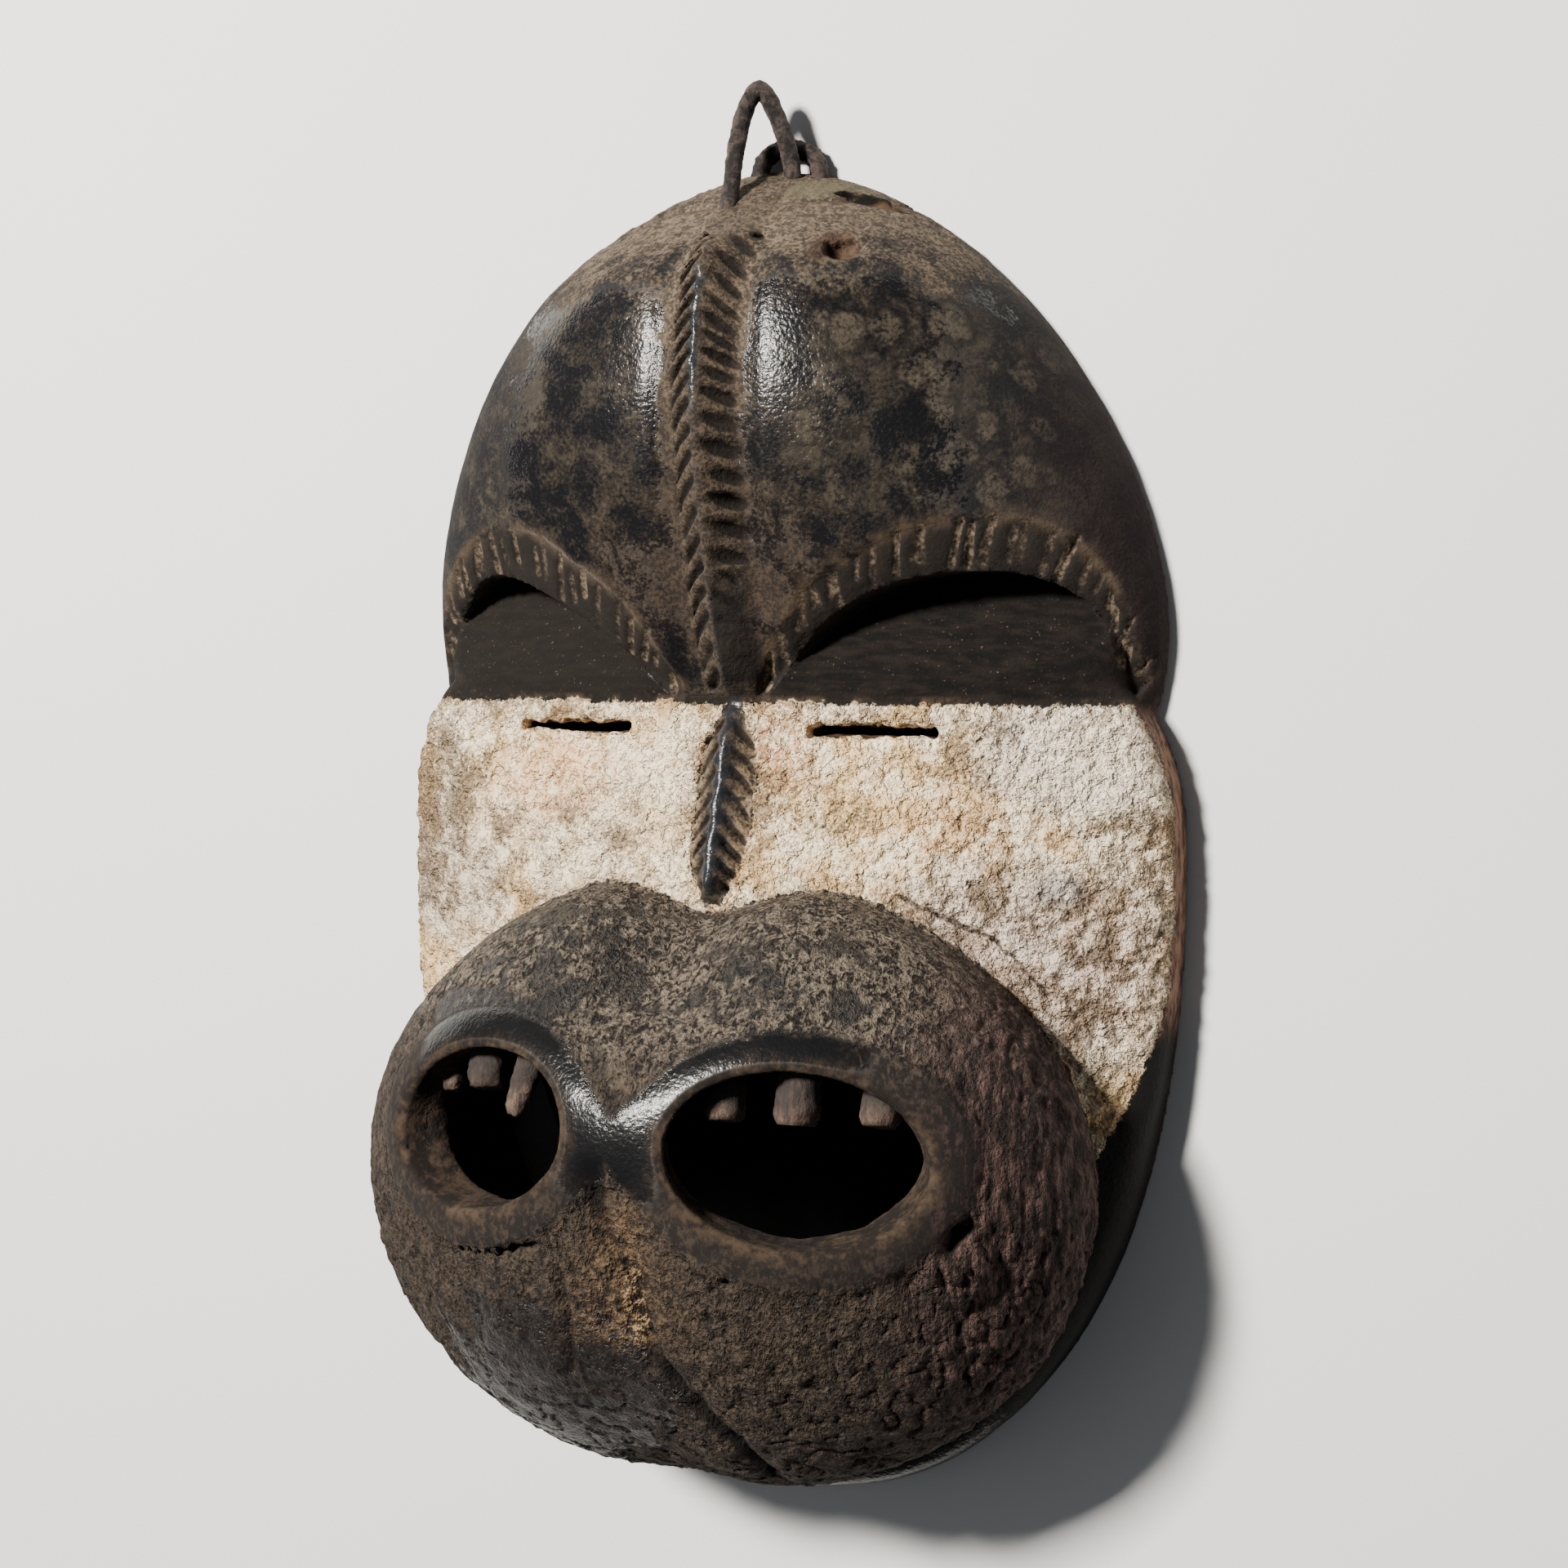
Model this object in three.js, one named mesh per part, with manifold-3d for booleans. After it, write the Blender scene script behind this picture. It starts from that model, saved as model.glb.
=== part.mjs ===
// A carved wooden ape mask, laid on its back: X runs across the face, Y towards the crown
// and Z out of the face. Millimetres. The flat rim of the back lies in the plane z = 0.
import * as THREE from 'three';
import { mergeVertices } from 'three/addons/utils/BufferGeometryUtils.js';
import Module from 'manifold-3d';

const wasm = await Module();
wasm.setup();

// Wood left between the carved face and the hollow back
const WALL = 11;
// Where the hollow behind the forehead starts, above the brows' thick wood
const BROW_BEAM = 88;
// Air between a fitting and the hole it sits in
const CLEARANCE = 0.3;
// Height of the drawing's middle above the middle of the finished piece
const MIDDLE_Y = 12.8;

// Two ovals make the rim: the crown's and the cheeks' with the chin. The power is 2 for an
// ellipse and more for a squarer line, and the crown is a little slacker on the right.
const CROWN = { y: 52, halfWidth: 97.5, up: 113.5, down: 113.5, power: 1.9, rightPower: 1.72 };
const CHEEKS = { y: 0, halfWidth: 102.3, up: 70, down: 159.5, power: 2.35, rightPower: 2.35 };
const BACK_CHEEKS = { y: 0, halfWidth: 91, up: 93, down: 141, power: 2.35, rightPower: 2.35 };

// Heights as [y, z] stations up the midline, and the cheek's height at its edge
const FOREHEAD = [
  [20, 24], [36, 31.5], [42, 34], [55, 39.6], [76, 45.6], [94, 49.4], [107, 50.6], [122, 49.5],
  [135, 46], [141.5, 40], [151, 26.5], [160, 14], [166, 3],
];
const FACE_MIDDLE = [[-170, 12], [-140, 22], [-100, 40], [-40, 48], [-4, 42.5], [19, 36], [36, 31.5], [70, 19], [105, 10]];
const FACE_EDGE = [[-170, 9], [-120, 12], [-60, 14], [30, 15], [60, 5], [105, 3]];
const DOME_POWER = 2.05;

// Muzzle: a ball with a cleft down its middle, and the hollow behind it
const MUZZLE = { centre: [0, -76, 40], size: [91, 73, 56] };
const MUZZLE_HOLLOW = { centre: [0, -76, 40], size: [79, 61, 43] };
const CLEFT_DEPTH = [[-150, 4], [-100, 3], [-68, 1.5], [-50, 0], [-41, 1.5], [-32, 8], [-24, 11], [-12, 10.2], [5, 11.4]];
const CLEFT_WIDTH = 18.4;
// The hollow dips this many times the cleft's depth behind it
const CLEFT_BACK = 1.5;

// Each opening is an oval seen from the front, with a rolled lip on its edge
const OPENINGS = [
  { x: 39.8, y: -60, halfWidth: 27.4, halfHeight: 18.2, tilt: -0.14 },
  { x: -37.6, y: -59, halfWidth: 24.6, halfHeight: 17.4, tilt: 0.16 },
];
const LIP = { width: 4.7, height: 2.8, setBack: 3.1 };
const OPENING_TURN = 0.47;

// Ridges: half width, height and how far apart the cuts are
const FOREHEAD_RIDGE = { halfWidth: 7.6, height: 4.5, pitch: 5.4, from: 147, to: 41 };
const NOSE_RIDGE = { halfWidth: 6.2, height: 5, pitch: 4.5, from: 34, to: -10.5 };
const RIDGE_CUT = { width: 2.1, depth: 1.5, slope: 0.72 };

// Lower and upper edge of each brow's hatched band, inner end first
const BROWS = [
  {
    lower: [[5, 34.5], [19.3, 49.6], [32.6, 59.9], [46.1, 64.8], [58.8, 66.2], [69, 65.8], [78.8, 62.2], [85.1, 56.1], [88.4, 47.8], [89.6, 34.5]],
    upper: [[8, 44], [22.3, 62.7], [33.7, 70], [45.1, 75.4], [55.8, 77.7], [66, 78.6], [76.6, 76.3], [83.6, 70.9], [91, 59], [95, 42]],
    strokes: 19,
  },
  {
    lower: [[-14.5, 34.5], [-28.8, 47.5], [-41.3, 56.4], [-53.2, 63], [-65, 66.6], [-75, 65], [-83, 58.7], [-88, 47.8], [-89.6, 34.5]],
    upper: [[-13.5, 40], [-25.1, 59.2], [-41.4, 71.1], [-50, 76.1], [-59.8, 77.8], [-69.6, 76.8], [-81.5, 70], [-90.5, 57], [-95, 42]],
    strokes: 17,
  },
];
const HATCH = { width: 2.4, depth: 1.3 };
// The lids lie under the brows, set back from the painted cheeks and slightly domed
const LID = { foot: 35.8, setBack: 2.2, bulge: 3.4, middle: 50, halfHeight: 17 };

const SLITS = [
  { x: 34.6, y: 29.4, length: 32, height: 3 },
  { x: -45, y: 29.3, length: 34.5, height: 3 },
];
const KNOT = { at: [29, 140.6, 34.5], size: [4.8, 3.9, 5] };
const CROWN_SPLIT = { from: [21, 157.6, 14.2], to: [36, 152.6, 12.8], width: 1.6, depth: 3.5 };
const MUZZLE_NOTCH = { from: [-44, -88.2, 86.5], to: [-24, -89.8, 92.2], width: 2.2, depth: 2.6 };

// Iron: a hoop to hang the mask by, and a lower hoop driven in behind it
const HOOP = {
  radius: 2.2,
  points: [
    [-6.7, 150.6, 22.2], [-6.7, 157, 19.4], [-6.5, 168, 16.8], [-5.2, 178.5, 14], [-2.2, 183.6, 12.2],
    [0.8, 179, 10.6], [3.4, 171, 8.9], [4.5, 163.8, 7.6], [4.5, 157, 7.2],
  ],
};
const LOW_HOOP = {
  radius: 2.4,
  points: [
    [-6, 157.8, 3.4], [-6, 165, 3.2], [-4.4, 169, 3], [0.4, 170.8, 2.9],
    [6, 169.6, 3], [9.6, 165.6, 3.1], [10.2, 157.4, 3.4],
  ],
};

// Wooden pegs for teeth: root in the upper wall, free end in the opening
const TEETH = [
  { name: 'tooth_right_inner', root: [19.6, -38, 76.4], end: [20.7, -53.8, 81], rootRadius: 3.3, endRadius: 4.1 },
  { name: 'tooth_right_middle', root: [36, -32.5, 72.6], end: [36.4, -53.6, 77], rootRadius: 3.4, endRadius: 4.3 },
  { name: 'tooth_right_outer', root: [53, -35.5, 64.5], end: [53.4, -54.2, 70], rootRadius: 3.4, endRadius: 4.1 },
  { name: 'tooth_left_inner', root: [-27.4, -36.5, 75], end: [-33, -57.5, 79.6], rootRadius: 4.2, endRadius: 2.5 },
  { name: 'tooth_left_middle', root: [-44.2, -33, 67.6], end: [-42.4, -51.2, 74.6], rootRadius: 4.2, endRadius: 4.4 },
  { name: 'tooth_left_outer', root: [-57, -38, 62], end: [-56, -55, 69], rootRadius: 3.1, endRadius: 2.9 },
];

// Facets
const RIM_POINTS = 47;
const BROW_POINTS = 13;
const LIP_POINTS = 28;
const LIP_SIDES = 6;
const ROD_SIDES = 7;

const V = (p) => new THREE.Vector3(p[0], p[1], p[2]);

// Smooth height between stations, without overshoot
function along(stations, y) {
  const last = stations.length - 1;
  const at = THREE.MathUtils.clamp(y, stations[0][0], stations[last][0]);
  const rise = stations.slice(1).map((s, i) => (s[1] - stations[i][1]) / (s[0] - stations[i][0]));
  const slope = stations.map((s, i) => {
    if (i === 0) return rise[0];
    if (i === last) return rise[last - 1];
    const product = rise[i - 1] * rise[i];
    return product > 0 ? 2 * product / (rise[i - 1] + rise[i]) : 0;
  });
  let i = 0;
  while (i < last - 1 && at > stations[i + 1][0]) i += 1;
  const [y0, z0] = stations[i];
  const [y1, z1] = stations[i + 1];
  const step = y1 - y0;
  const t = (at - y0) / step;
  return (2 * t ** 3 - 3 * t ** 2 + 1) * z0 + (t ** 3 - 2 * t ** 2 + t) * step * slope[i]
    + (3 * t ** 2 - 2 * t ** 3) * z1 + (t ** 3 - t ** 2) * step * slope[i + 1];
}

// Half width of an oval at the height y
function halfWidth(oval, x, y, inset = 0) {
  const reach = (y > oval.y ? oval.up : oval.down) - inset;
  const share = Math.min(Math.abs(y - oval.y) / reach, 1);
  const power = x > 0 ? oval.rightPower : oval.power;
  return (oval.halfWidth - inset) * (1 - share ** power) ** (1 / power);
}

// The forehead's height: a long dome on the crown's oval
function domeHeight(x, y, inset = 0) {
  const width = Math.max(halfWidth(CROWN, x, y, inset), 0.01);
  const share = Math.min(Math.abs(x) / width, 1);
  return Math.max(along(FOREHEAD, y) - inset, 0) * (1 - share ** DOME_POWER) ** (1 / DOME_POWER);
}

// The cheeks' height: highest on the midline, low at the edge
function faceHeight(x, y) {
  const middle = along(FACE_MIDDLE, y);
  const edge = along(FACE_EDGE, y);
  return middle - (middle - edge) * Math.min(Math.abs(x) / 100, 1.2) ** 1.9;
}

function lidHeight(x, y) {
  const share = (y - LID.middle) / LID.halfHeight;
  return faceHeight(x, y) - LID.setBack + LID.bulge * Math.max(1 - share * share, 0);
}

function onMuzzle(x, y, ball = MUZZLE) {
  const a = (x - ball.centre[0]) / ball.size[0];
  const b = (y - ball.centre[1]) / ball.size[1];
  return ball.centre[2] + ball.size[2] * Math.sqrt(Math.max(1 - a * a - b * b, 0));
}

function muzzleNormal(x, y, z) {
  const [cx, cy, cz] = MUZZLE.centre;
  const [sx, sy, sz] = MUZZLE.size;
  return new THREE.Vector3((x - cx) / sx ** 2, (y - cy) / sy ** 2, (z - cz) / sz ** 2).normalize();
}

// Closed line around an oval, anticlockwise, as points
function ovalLine(oval, count, inset = 0) {
  return Array.from({ length: count }, (_, i) => {
    const a = (i / count) * 2 * Math.PI;
    const c = Math.cos(a);
    const s = Math.sin(a);
    const reach = (s > 0 ? oval.up : oval.down) - inset;
    const power = c > 0 ? oval.rightPower : oval.power;
    return new THREE.Vector2(
      Math.sign(c) * Math.abs(c) ** (2 / power) * (oval.halfWidth - inset),
      oval.y + Math.sign(s) * Math.abs(s) ** (2 / power) * reach,
    );
  });
}

// A three.js geometry as a solid for joining and cutting
function solid(geometry) {
  const bare = geometry.clone();
  bare.deleteAttribute('normal');
  bare.deleteAttribute('uv');
  const merged = mergeVertices(bare, 1e-4);
  return new wasm.Manifold(new wasm.Mesh({
    numProp: 3,
    vertProperties: new Float32Array(merged.attributes.position.array),
    triVerts: new Uint32Array(merged.index.array),
  }));
}

function reshape(geometry, move) {
  const position = geometry.attributes.position;
  const point = new THREE.Vector3();
  for (let i = 0; i < position.count; i += 1) {
    point.fromBufferAttribute(position, i);
    const moved = move(point, i);
    position.setXYZ(i, moved.x, moved.y, moved.z);
  }
  return geometry;
}

// A block over a closed line, its floor and its top both heights that may vary across it.
// The rings are shares of the way from the centre to the line.
function cushion(line, centre, floorRings, floor, topRings, top) {
  const profile = [0, ...floorRings, 1].map((r) => new THREE.Vector2(r, 0));
  profile.push(...[1, ...topRings, 0].map((r) => new THREE.Vector2(r, 1)));
  const turned = new THREE.LatheGeometry(profile, line.length);
  return reshape(turned, (point, index) => {
    const edge = line[Math.floor(index / profile.length) % line.length];
    const { x: share, y: level } = profile[index % profile.length];
    const x = centre[0] + (edge.x - centre[0]) * share;
    const y = centre[1] + (edge.y - centre[1]) * share;
    return new THREE.Vector3(x, y, level ? top(x, y) : floor(x, y));
  });
}

function cleft(x, y) {
  return along(CLEFT_DEPTH, y) * Math.exp(-((x / CLEFT_WIDTH) ** 2));
}

// The muzzle's ball with its cleft
function cleftBall() {
  return reshape(new THREE.SphereGeometry(1, 33, 24), (p) => {
    const x = MUZZLE.centre[0] + p.x * MUZZLE.size[0];
    const y = MUZZLE.centre[1] + p.y * MUZZLE.size[1];
    const z = MUZZLE.centre[2] + p.z * MUZZLE.size[2];
    const depth = p.z > -0.2 ? cleft(x, y) : 0;
    return new THREE.Vector3(x, y, z).addScaledVector(muzzleNormal(x, y, z), -depth);
  });
}

// Point on an opening's edge, or outside it by a margin, on the muzzle's surface
function openingEdge(opening, angle, margin = 0) {
  const a = Math.cos(angle) * (opening.halfWidth + margin);
  const b = Math.sin(angle) * (opening.halfHeight + margin);
  const x = opening.x + a * Math.cos(opening.tilt) - b * Math.sin(opening.tilt);
  const y = opening.y + a * Math.sin(opening.tilt) + b * Math.cos(opening.tilt);
  return new THREE.Vector3(x, y, onMuzzle(x, y));
}

function lip(opening) {
  const ring = new THREE.TorusGeometry(2, 1, LIP_SIDES, LIP_POINTS);
  return reshape(ring, (p) => {
    const angle = Math.atan2(p.y, p.x);
    const across = Math.hypot(p.x, p.y) - 2;
    const middle = openingEdge(opening, angle, LIP.setBack);
    const normal = muzzleNormal(middle.x, middle.y, middle.z);
    const out = openingEdge(opening, angle, LIP.setBack + 1).sub(middle).normalize();
    return middle.addScaledVector(out, across * LIP.width).addScaledVector(normal, p.z * LIP.height);
  });
}

function openingCut(opening) {
  const side = Math.sign(opening.x);
  const way = new THREE.Vector3(side * Math.sin(OPENING_TURN), 0, Math.cos(OPENING_TURN));
  const tube = new THREE.CylinderGeometry(1, 1, 1, LIP_POINTS).rotateX(Math.PI / 2);
  return reshape(tube, (p) => {
    const rim = Math.hypot(p.x, p.y) > 0.5;
    const angle = Math.atan2(p.y, p.x);
    const edge = rim ? openingEdge(opening, angle) : V([opening.x, opening.y, onMuzzle(opening.x, opening.y)]);
    return edge.addScaledVector(way, p.z > 0 ? 16 : -38);
  });
}

// A ridge of triangular section that rides on the surface below it
function ridge({ halfWidth: half, height, from, to }, ground, drop) {
  const steps = Math.round((from - to) / 6);
  const bar = new THREE.BoxGeometry(2, 1, 1, 2, steps, 1);
  return reshape(bar, (p) => {
    const y = to + (p.y + 0.5) * (from - to);
    const x = p.x * half;
    const crest = p.x === 0 ? height : -0.9;
    const end = Math.min((from - y) / 8, (y - to) / 3, 1);
    return new THREE.Vector3(x, y, ground(x, y) + (p.z > 0 ? crest * Math.max(end, 0.15) : -drop));
  });
}

// A groove of triangular section from one point to another, cut from above
function groove(from, to, width, depth, up = new THREE.Vector3(0, 0, 1)) {
  const way = to.clone().sub(from);
  const section = new THREE.Shape();
  section.moveTo(0, -depth);
  section.lineTo(width * 1.5, depth * 2);
  section.lineTo(-width * 1.5, depth * 2);
  section.closePath();
  const bar = new THREE.ExtrudeGeometry(section, { depth: way.length(), steps: 1, bevelEnabled: false });
  const axis = way.clone().normalize();
  const side = new THREE.Vector3().crossVectors(up, axis).normalize();
  const lift = new THREE.Vector3().crossVectors(axis, side);
  return bar.applyMatrix4(new THREE.Matrix4().makeBasis(side, lift, axis).setPosition(from));
}

// Slanting cuts down both flanks of a ridge, pointing to the crown
function ridgeCuts(shape, ground) {
  const cuts = [];
  const count = Math.floor((shape.from - shape.to - 8) / shape.pitch);
  for (let i = 0; i < count; i += 1) {
    for (const side of [-1, 1]) {
      const y = shape.from - 2 - (i + (side < 0 ? 0.3 : 0)) * shape.pitch;
      const near = side * 1.5;
      const far = side * (shape.halfWidth + 1.6);
      const low = y - shape.halfWidth * RIDGE_CUT.slope;
      const start = new THREE.Vector3(near, y, ground(near, y) + shape.height * 0.93);
      const finish = new THREE.Vector3(far, low, ground(far, low) + 0.2);
      cuts.push(groove(start, finish, RIDGE_CUT.width, RIDGE_CUT.depth));
    }
  }
  return cuts;
}

function lineThrough(points) {
  return new THREE.SplineCurve(points.map(([x, y]) => new THREE.Vector2(x, y)));
}

// The space over a lid, from the lid up through the forehead's edge
function socket(brow) {
  const arch = lineThrough(brow.lower).getSpacedPoints(BROW_POINTS);
  const side = Math.sign(arch[0].x);
  const line = arch.map((p) => new THREE.Vector2(p.x, Math.max(p.y, LID.foot)));
  if (side > 0) line.reverse();
  return cushion(line, [side * 54, 48], [0.3, 0.6, 0.82], lidHeight, [], () => 70);
}

function browCuts(brow) {
  const lower = lineThrough(brow.lower);
  const upper = lineThrough(brow.upper);
  return Array.from({ length: brow.strokes }, (_, i) => {
    const share = 0.07 + 0.88 * (i / (brow.strokes - 1));
    const a = lower.getPointAt(share);
    const b = upper.getPointAt(share);
    const from = new THREE.Vector3(a.x, a.y, domeHeight(a.x, a.y) + 0.2);
    const to = new THREE.Vector3(b.x, b.y, domeHeight(b.x, b.y) + 0.2);
    from.addScaledVector(to.clone().sub(from), -0.25);
    const out = new THREE.Vector3(a.x / 110, 0.1, 1).normalize();
    return groove(from, to, HATCH.width, HATCH.depth, out);
  });
}

function slit({ x, y, length, height }) {
  const shape = new THREE.Shape();
  const half = length / 2;
  const tall = height / 2;
  shape.moveTo(x - half, y);
  shape.lineTo(x - half + tall, y - tall);
  shape.lineTo(x + half - tall, y - tall);
  shape.lineTo(x + half, y);
  shape.lineTo(x + half - tall, y + tall);
  shape.lineTo(x - half + tall, y + tall);
  shape.closePath();
  return new THREE.ExtrudeGeometry(shape, { depth: 80, bevelEnabled: false }).translate(0, 0, -5);
}

// A round rod bent through points, as a forged hoop or the hole for one
function rod({ radius, points }, extra = 0) {
  const path = new THREE.CatmullRomCurve3(points.map(V));
  const section = new THREE.Shape();
  for (let i = 0; i < ROD_SIDES; i += 1) {
    const a = (i / ROD_SIDES) * 2 * Math.PI;
    const x = (radius + extra) * Math.cos(a);
    const y = (radius + extra) * Math.sin(a);
    if (i === 0) section.moveTo(x, y);
    else section.lineTo(x, y);
  }
  return new THREE.ExtrudeGeometry(section, { extrudePath: path, steps: 16, bevelEnabled: false });
}

// Room for a bent rod: its own tube, wider, and a little deeper at both ends
function rodRoom(hoop) {
  const points = hoop.points.map(V);
  const stretch = (end, next) => end.clone().add(end.clone().sub(next).normalize().multiplyScalar(0.5));
  const longer = [...hoop.points];
  longer[0] = stretch(points[0], points[1]).toArray();
  longer[longer.length - 1] = stretch(points[points.length - 1], points[points.length - 2]).toArray();
  return rod({ radius: hoop.radius, points: longer }, CLEARANCE / Math.cos(Math.PI / ROD_SIDES));
}

function peg({ root, end, rootRadius, endRadius }, extra = 0) {
  const way = V(end).sub(V(root));
  const length = way.length() + extra * 2;
  const bar = new THREE.CylinderGeometry(endRadius + extra, rootRadius + extra, length, ROD_SIDES);
  const turn = new THREE.Quaternion().setFromUnitVectors(new THREE.Vector3(0, 1, 0), way.clone().normalize());
  return bar.applyQuaternion(turn).translate(...V(root).add(V(end)).multiplyScalar(0.5).toArray());
}

function carveMask() {
  const always = (value) => () => value;
  const crown = cushion(
    ovalLine(CROWN, RIM_POINTS), [0, CROWN.y],
    [], always(0), [0.98, 0.92, 0.82, 0.68, 0.48, 0.24], domeHeight,
  );
  const cheeks = cushion(
    ovalLine(CHEEKS, RIM_POINTS), [0, CHEEKS.y],
    [], always(0), [0.975, 0.82, 0.62, 0.36],
    faceHeight,
  );
  const lowerPart = new THREE.BoxGeometry(300, 200, 300).translate(0, LID.foot - 0.7 - 100, 0);
  const body = solid(crown).subtract(solid(lowerPart)).add(solid(cheeks));
  const carved = BROWS.reduce((whole, brow) => whole.subtract(solid(socket(brow))), body);
  let mask = carved
    .add(solid(cleftBall()))
    .add(solid(ridge(FOREHEAD_RIDGE, domeHeight, 9)))
    .add(solid(ridge(NOSE_RIDGE, faceHeight, 9)));
  for (const opening of OPENINGS) mask = mask.add(solid(lip(opening)));

  const backCheeks = cushion(
    ovalLine(BACK_CHEEKS, 40), [0, CHEEKS.y],
    [], always(-6), [0.85, 0.6, 0.3], (x, y) => Math.max(faceHeight(x, y) - WALL - 1, -5),
  );
  const foreheadLine = ovalLine(CROWN, 52, WALL).filter((p) => p.y > BROW_BEAM);
  for (const x of [-66, -44, -22, 0, 22, 44, 66]) foreheadLine.push(new THREE.Vector2(x, BROW_BEAM));
  const backForehead = cushion(
    foreheadLine, [0, 112],
    [], always(-6), [0.97, 0.85, 0.62, 0.32], (x, y) => domeHeight(x, y, WALL),
  );
  const muzzleOval = { y: -76, halfWidth: 79, up: 61, down: 61, power: 2, rightPower: 2 };
  const backMuzzle = cushion(
    ovalLine(muzzleOval, 36), [0, -76],
    [], always(-6), [0.98, 0.88, 0.7, 0.45],
    (x, y) => onMuzzle(x, y, MUZZLE_HOLLOW) - CLEFT_BACK * cleft(x, y),
  );
  for (const hollow of [backCheeks, backForehead, backMuzzle]) mask = mask.subtract(solid(hollow));
  const underside = new THREE.BoxGeometry(300, 500, 60).translate(0, 0, -30);
  mask = mask.subtract(solid(underside));

  const cuts = [
    ...OPENINGS.map(openingCut),
    ...SLITS.map(slit),
    ...ridgeCuts(FOREHEAD_RIDGE, domeHeight),
    ...ridgeCuts(NOSE_RIDGE, faceHeight),
    ...BROWS.flatMap(browCuts),
    groove(V(CROWN_SPLIT.from), V(CROWN_SPLIT.to), CROWN_SPLIT.width, CROWN_SPLIT.depth),
    groove(V(MUZZLE_NOTCH.from), V(MUZZLE_NOTCH.to), MUZZLE_NOTCH.width, MUZZLE_NOTCH.depth),
    new THREE.SphereGeometry(1, 10, 6).scale(...KNOT.size).translate(...KNOT.at),
    rodRoom(HOOP),
    rodRoom(LOW_HOOP),
    ...TEETH.map((tooth) => peg(tooth, CLEARANCE * 1.3)),
  ];
  for (const cut of cuts) mask = mask.subtract(solid(cut));
  return mask;
}

function geometryOf(manifold) {
  const { vertProperties, triVerts } = manifold.getMesh();
  const geometry = new THREE.BufferGeometry();
  geometry.setAttribute('position', new THREE.BufferAttribute(new Float32Array(vertProperties), 3));
  geometry.setIndex(new THREE.BufferAttribute(new Uint32Array(triVerts), 1));
  geometry.computeVertexNormals();
  return geometry;
}

const blackenedWood = new THREE.MeshStandardMaterial({ color: 0x2b2521, roughness: 0.55, metalness: 0 });
const rustedIron = new THREE.MeshStandardMaterial({ color: 0x3a2d26, roughness: 0.7, metalness: 0.6 });
const rawWood = new THREE.MeshStandardMaterial({ color: 0x6e4f3d, roughness: 0.85, metalness: 0 });

const mask = new THREE.Group();
mask.position.y = -MIDDLE_Y;

function place(name, geometry, material) {
  const mesh = new THREE.Mesh(geometry, material);
  mesh.name = name;
  mask.add(mesh);
}

place('mask_body', geometryOf(carveMask()), blackenedWood);
place('hanging_hoop', rod(HOOP), rustedIron);
place('low_hoop', rod(LOW_HOOP), rustedIron);
for (const tooth of TEETH) place(tooth.name, peg(tooth), rawWood);

const root = new THREE.Group();
root.add(mask);
export default root;
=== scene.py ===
# %% [markdown]
# A carved ape mask, lying on its back
#
# The real thing is one piece of hard wood, hollowed behind and carved in front: a polished
# forehead with a notched ridge, hatched brows, cheeks painted with white clay, and a crusted
# muzzle with two lipped openings, each with three pegs for teeth. Two irons sit in the crown.
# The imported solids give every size. This lesson grows the fine surface over them.

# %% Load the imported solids
import math
import time

import bpy
import numpy as np
from mathutils import Matrix, Vector


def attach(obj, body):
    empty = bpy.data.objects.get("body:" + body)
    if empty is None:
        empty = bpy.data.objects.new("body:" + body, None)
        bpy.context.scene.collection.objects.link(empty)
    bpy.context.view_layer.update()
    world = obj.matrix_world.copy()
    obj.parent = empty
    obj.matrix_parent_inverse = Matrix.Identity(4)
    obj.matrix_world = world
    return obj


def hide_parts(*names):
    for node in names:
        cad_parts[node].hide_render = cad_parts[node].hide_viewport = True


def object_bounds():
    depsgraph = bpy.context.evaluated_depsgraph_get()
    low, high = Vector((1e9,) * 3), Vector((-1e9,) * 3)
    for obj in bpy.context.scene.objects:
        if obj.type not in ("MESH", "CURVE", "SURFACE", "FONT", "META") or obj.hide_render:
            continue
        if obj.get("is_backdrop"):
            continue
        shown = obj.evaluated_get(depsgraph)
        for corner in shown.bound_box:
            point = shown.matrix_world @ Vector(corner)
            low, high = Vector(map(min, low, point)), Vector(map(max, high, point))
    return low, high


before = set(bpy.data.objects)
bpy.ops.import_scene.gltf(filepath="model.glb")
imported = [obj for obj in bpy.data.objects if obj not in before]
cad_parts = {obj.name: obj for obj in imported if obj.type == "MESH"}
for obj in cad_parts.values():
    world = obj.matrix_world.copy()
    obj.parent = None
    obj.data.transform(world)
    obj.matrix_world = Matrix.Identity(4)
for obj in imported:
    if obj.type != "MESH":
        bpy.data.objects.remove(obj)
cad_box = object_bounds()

started = time.time()


def tell(*words):
    """Print what a step made, and the seconds so far."""
    print(*words, "after", round(time.time() - started, 1), "s")


def linked(name, data):
    """A new object with that data, linked to the scene."""
    made = bpy.data.objects.new(name, data)
    bpy.context.scene.collection.objects.link(made)
    return made


print("solids' box, metres:", [[round(v, 4) for v in corner] for corner in cad_box])

# %% [markdown]
# Camera first. The photograph looks down on the face from its right side, a little from the
# crown, from about 60 cm. A long lens matches how little the far cheek shrinks. Lengths here
# are millimetres on the carver's drawing, whose middle lies a little above the finished
# piece's middle, because the iron hoop reaches past the crown.

# %% Camera
MIDDLE_Y = 12.8
CAMERA_TURN = math.radians(24)
CAMERA_RISE = math.radians(5)
CAMERA_AWAY = 600
AIM = (-1.2, 14.6, 0.0)


def metres(x, y, z):
    """A point of the drawing as a place in the scene."""
    return Vector((x, y - MIDDLE_Y, z)) / 1000


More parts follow.
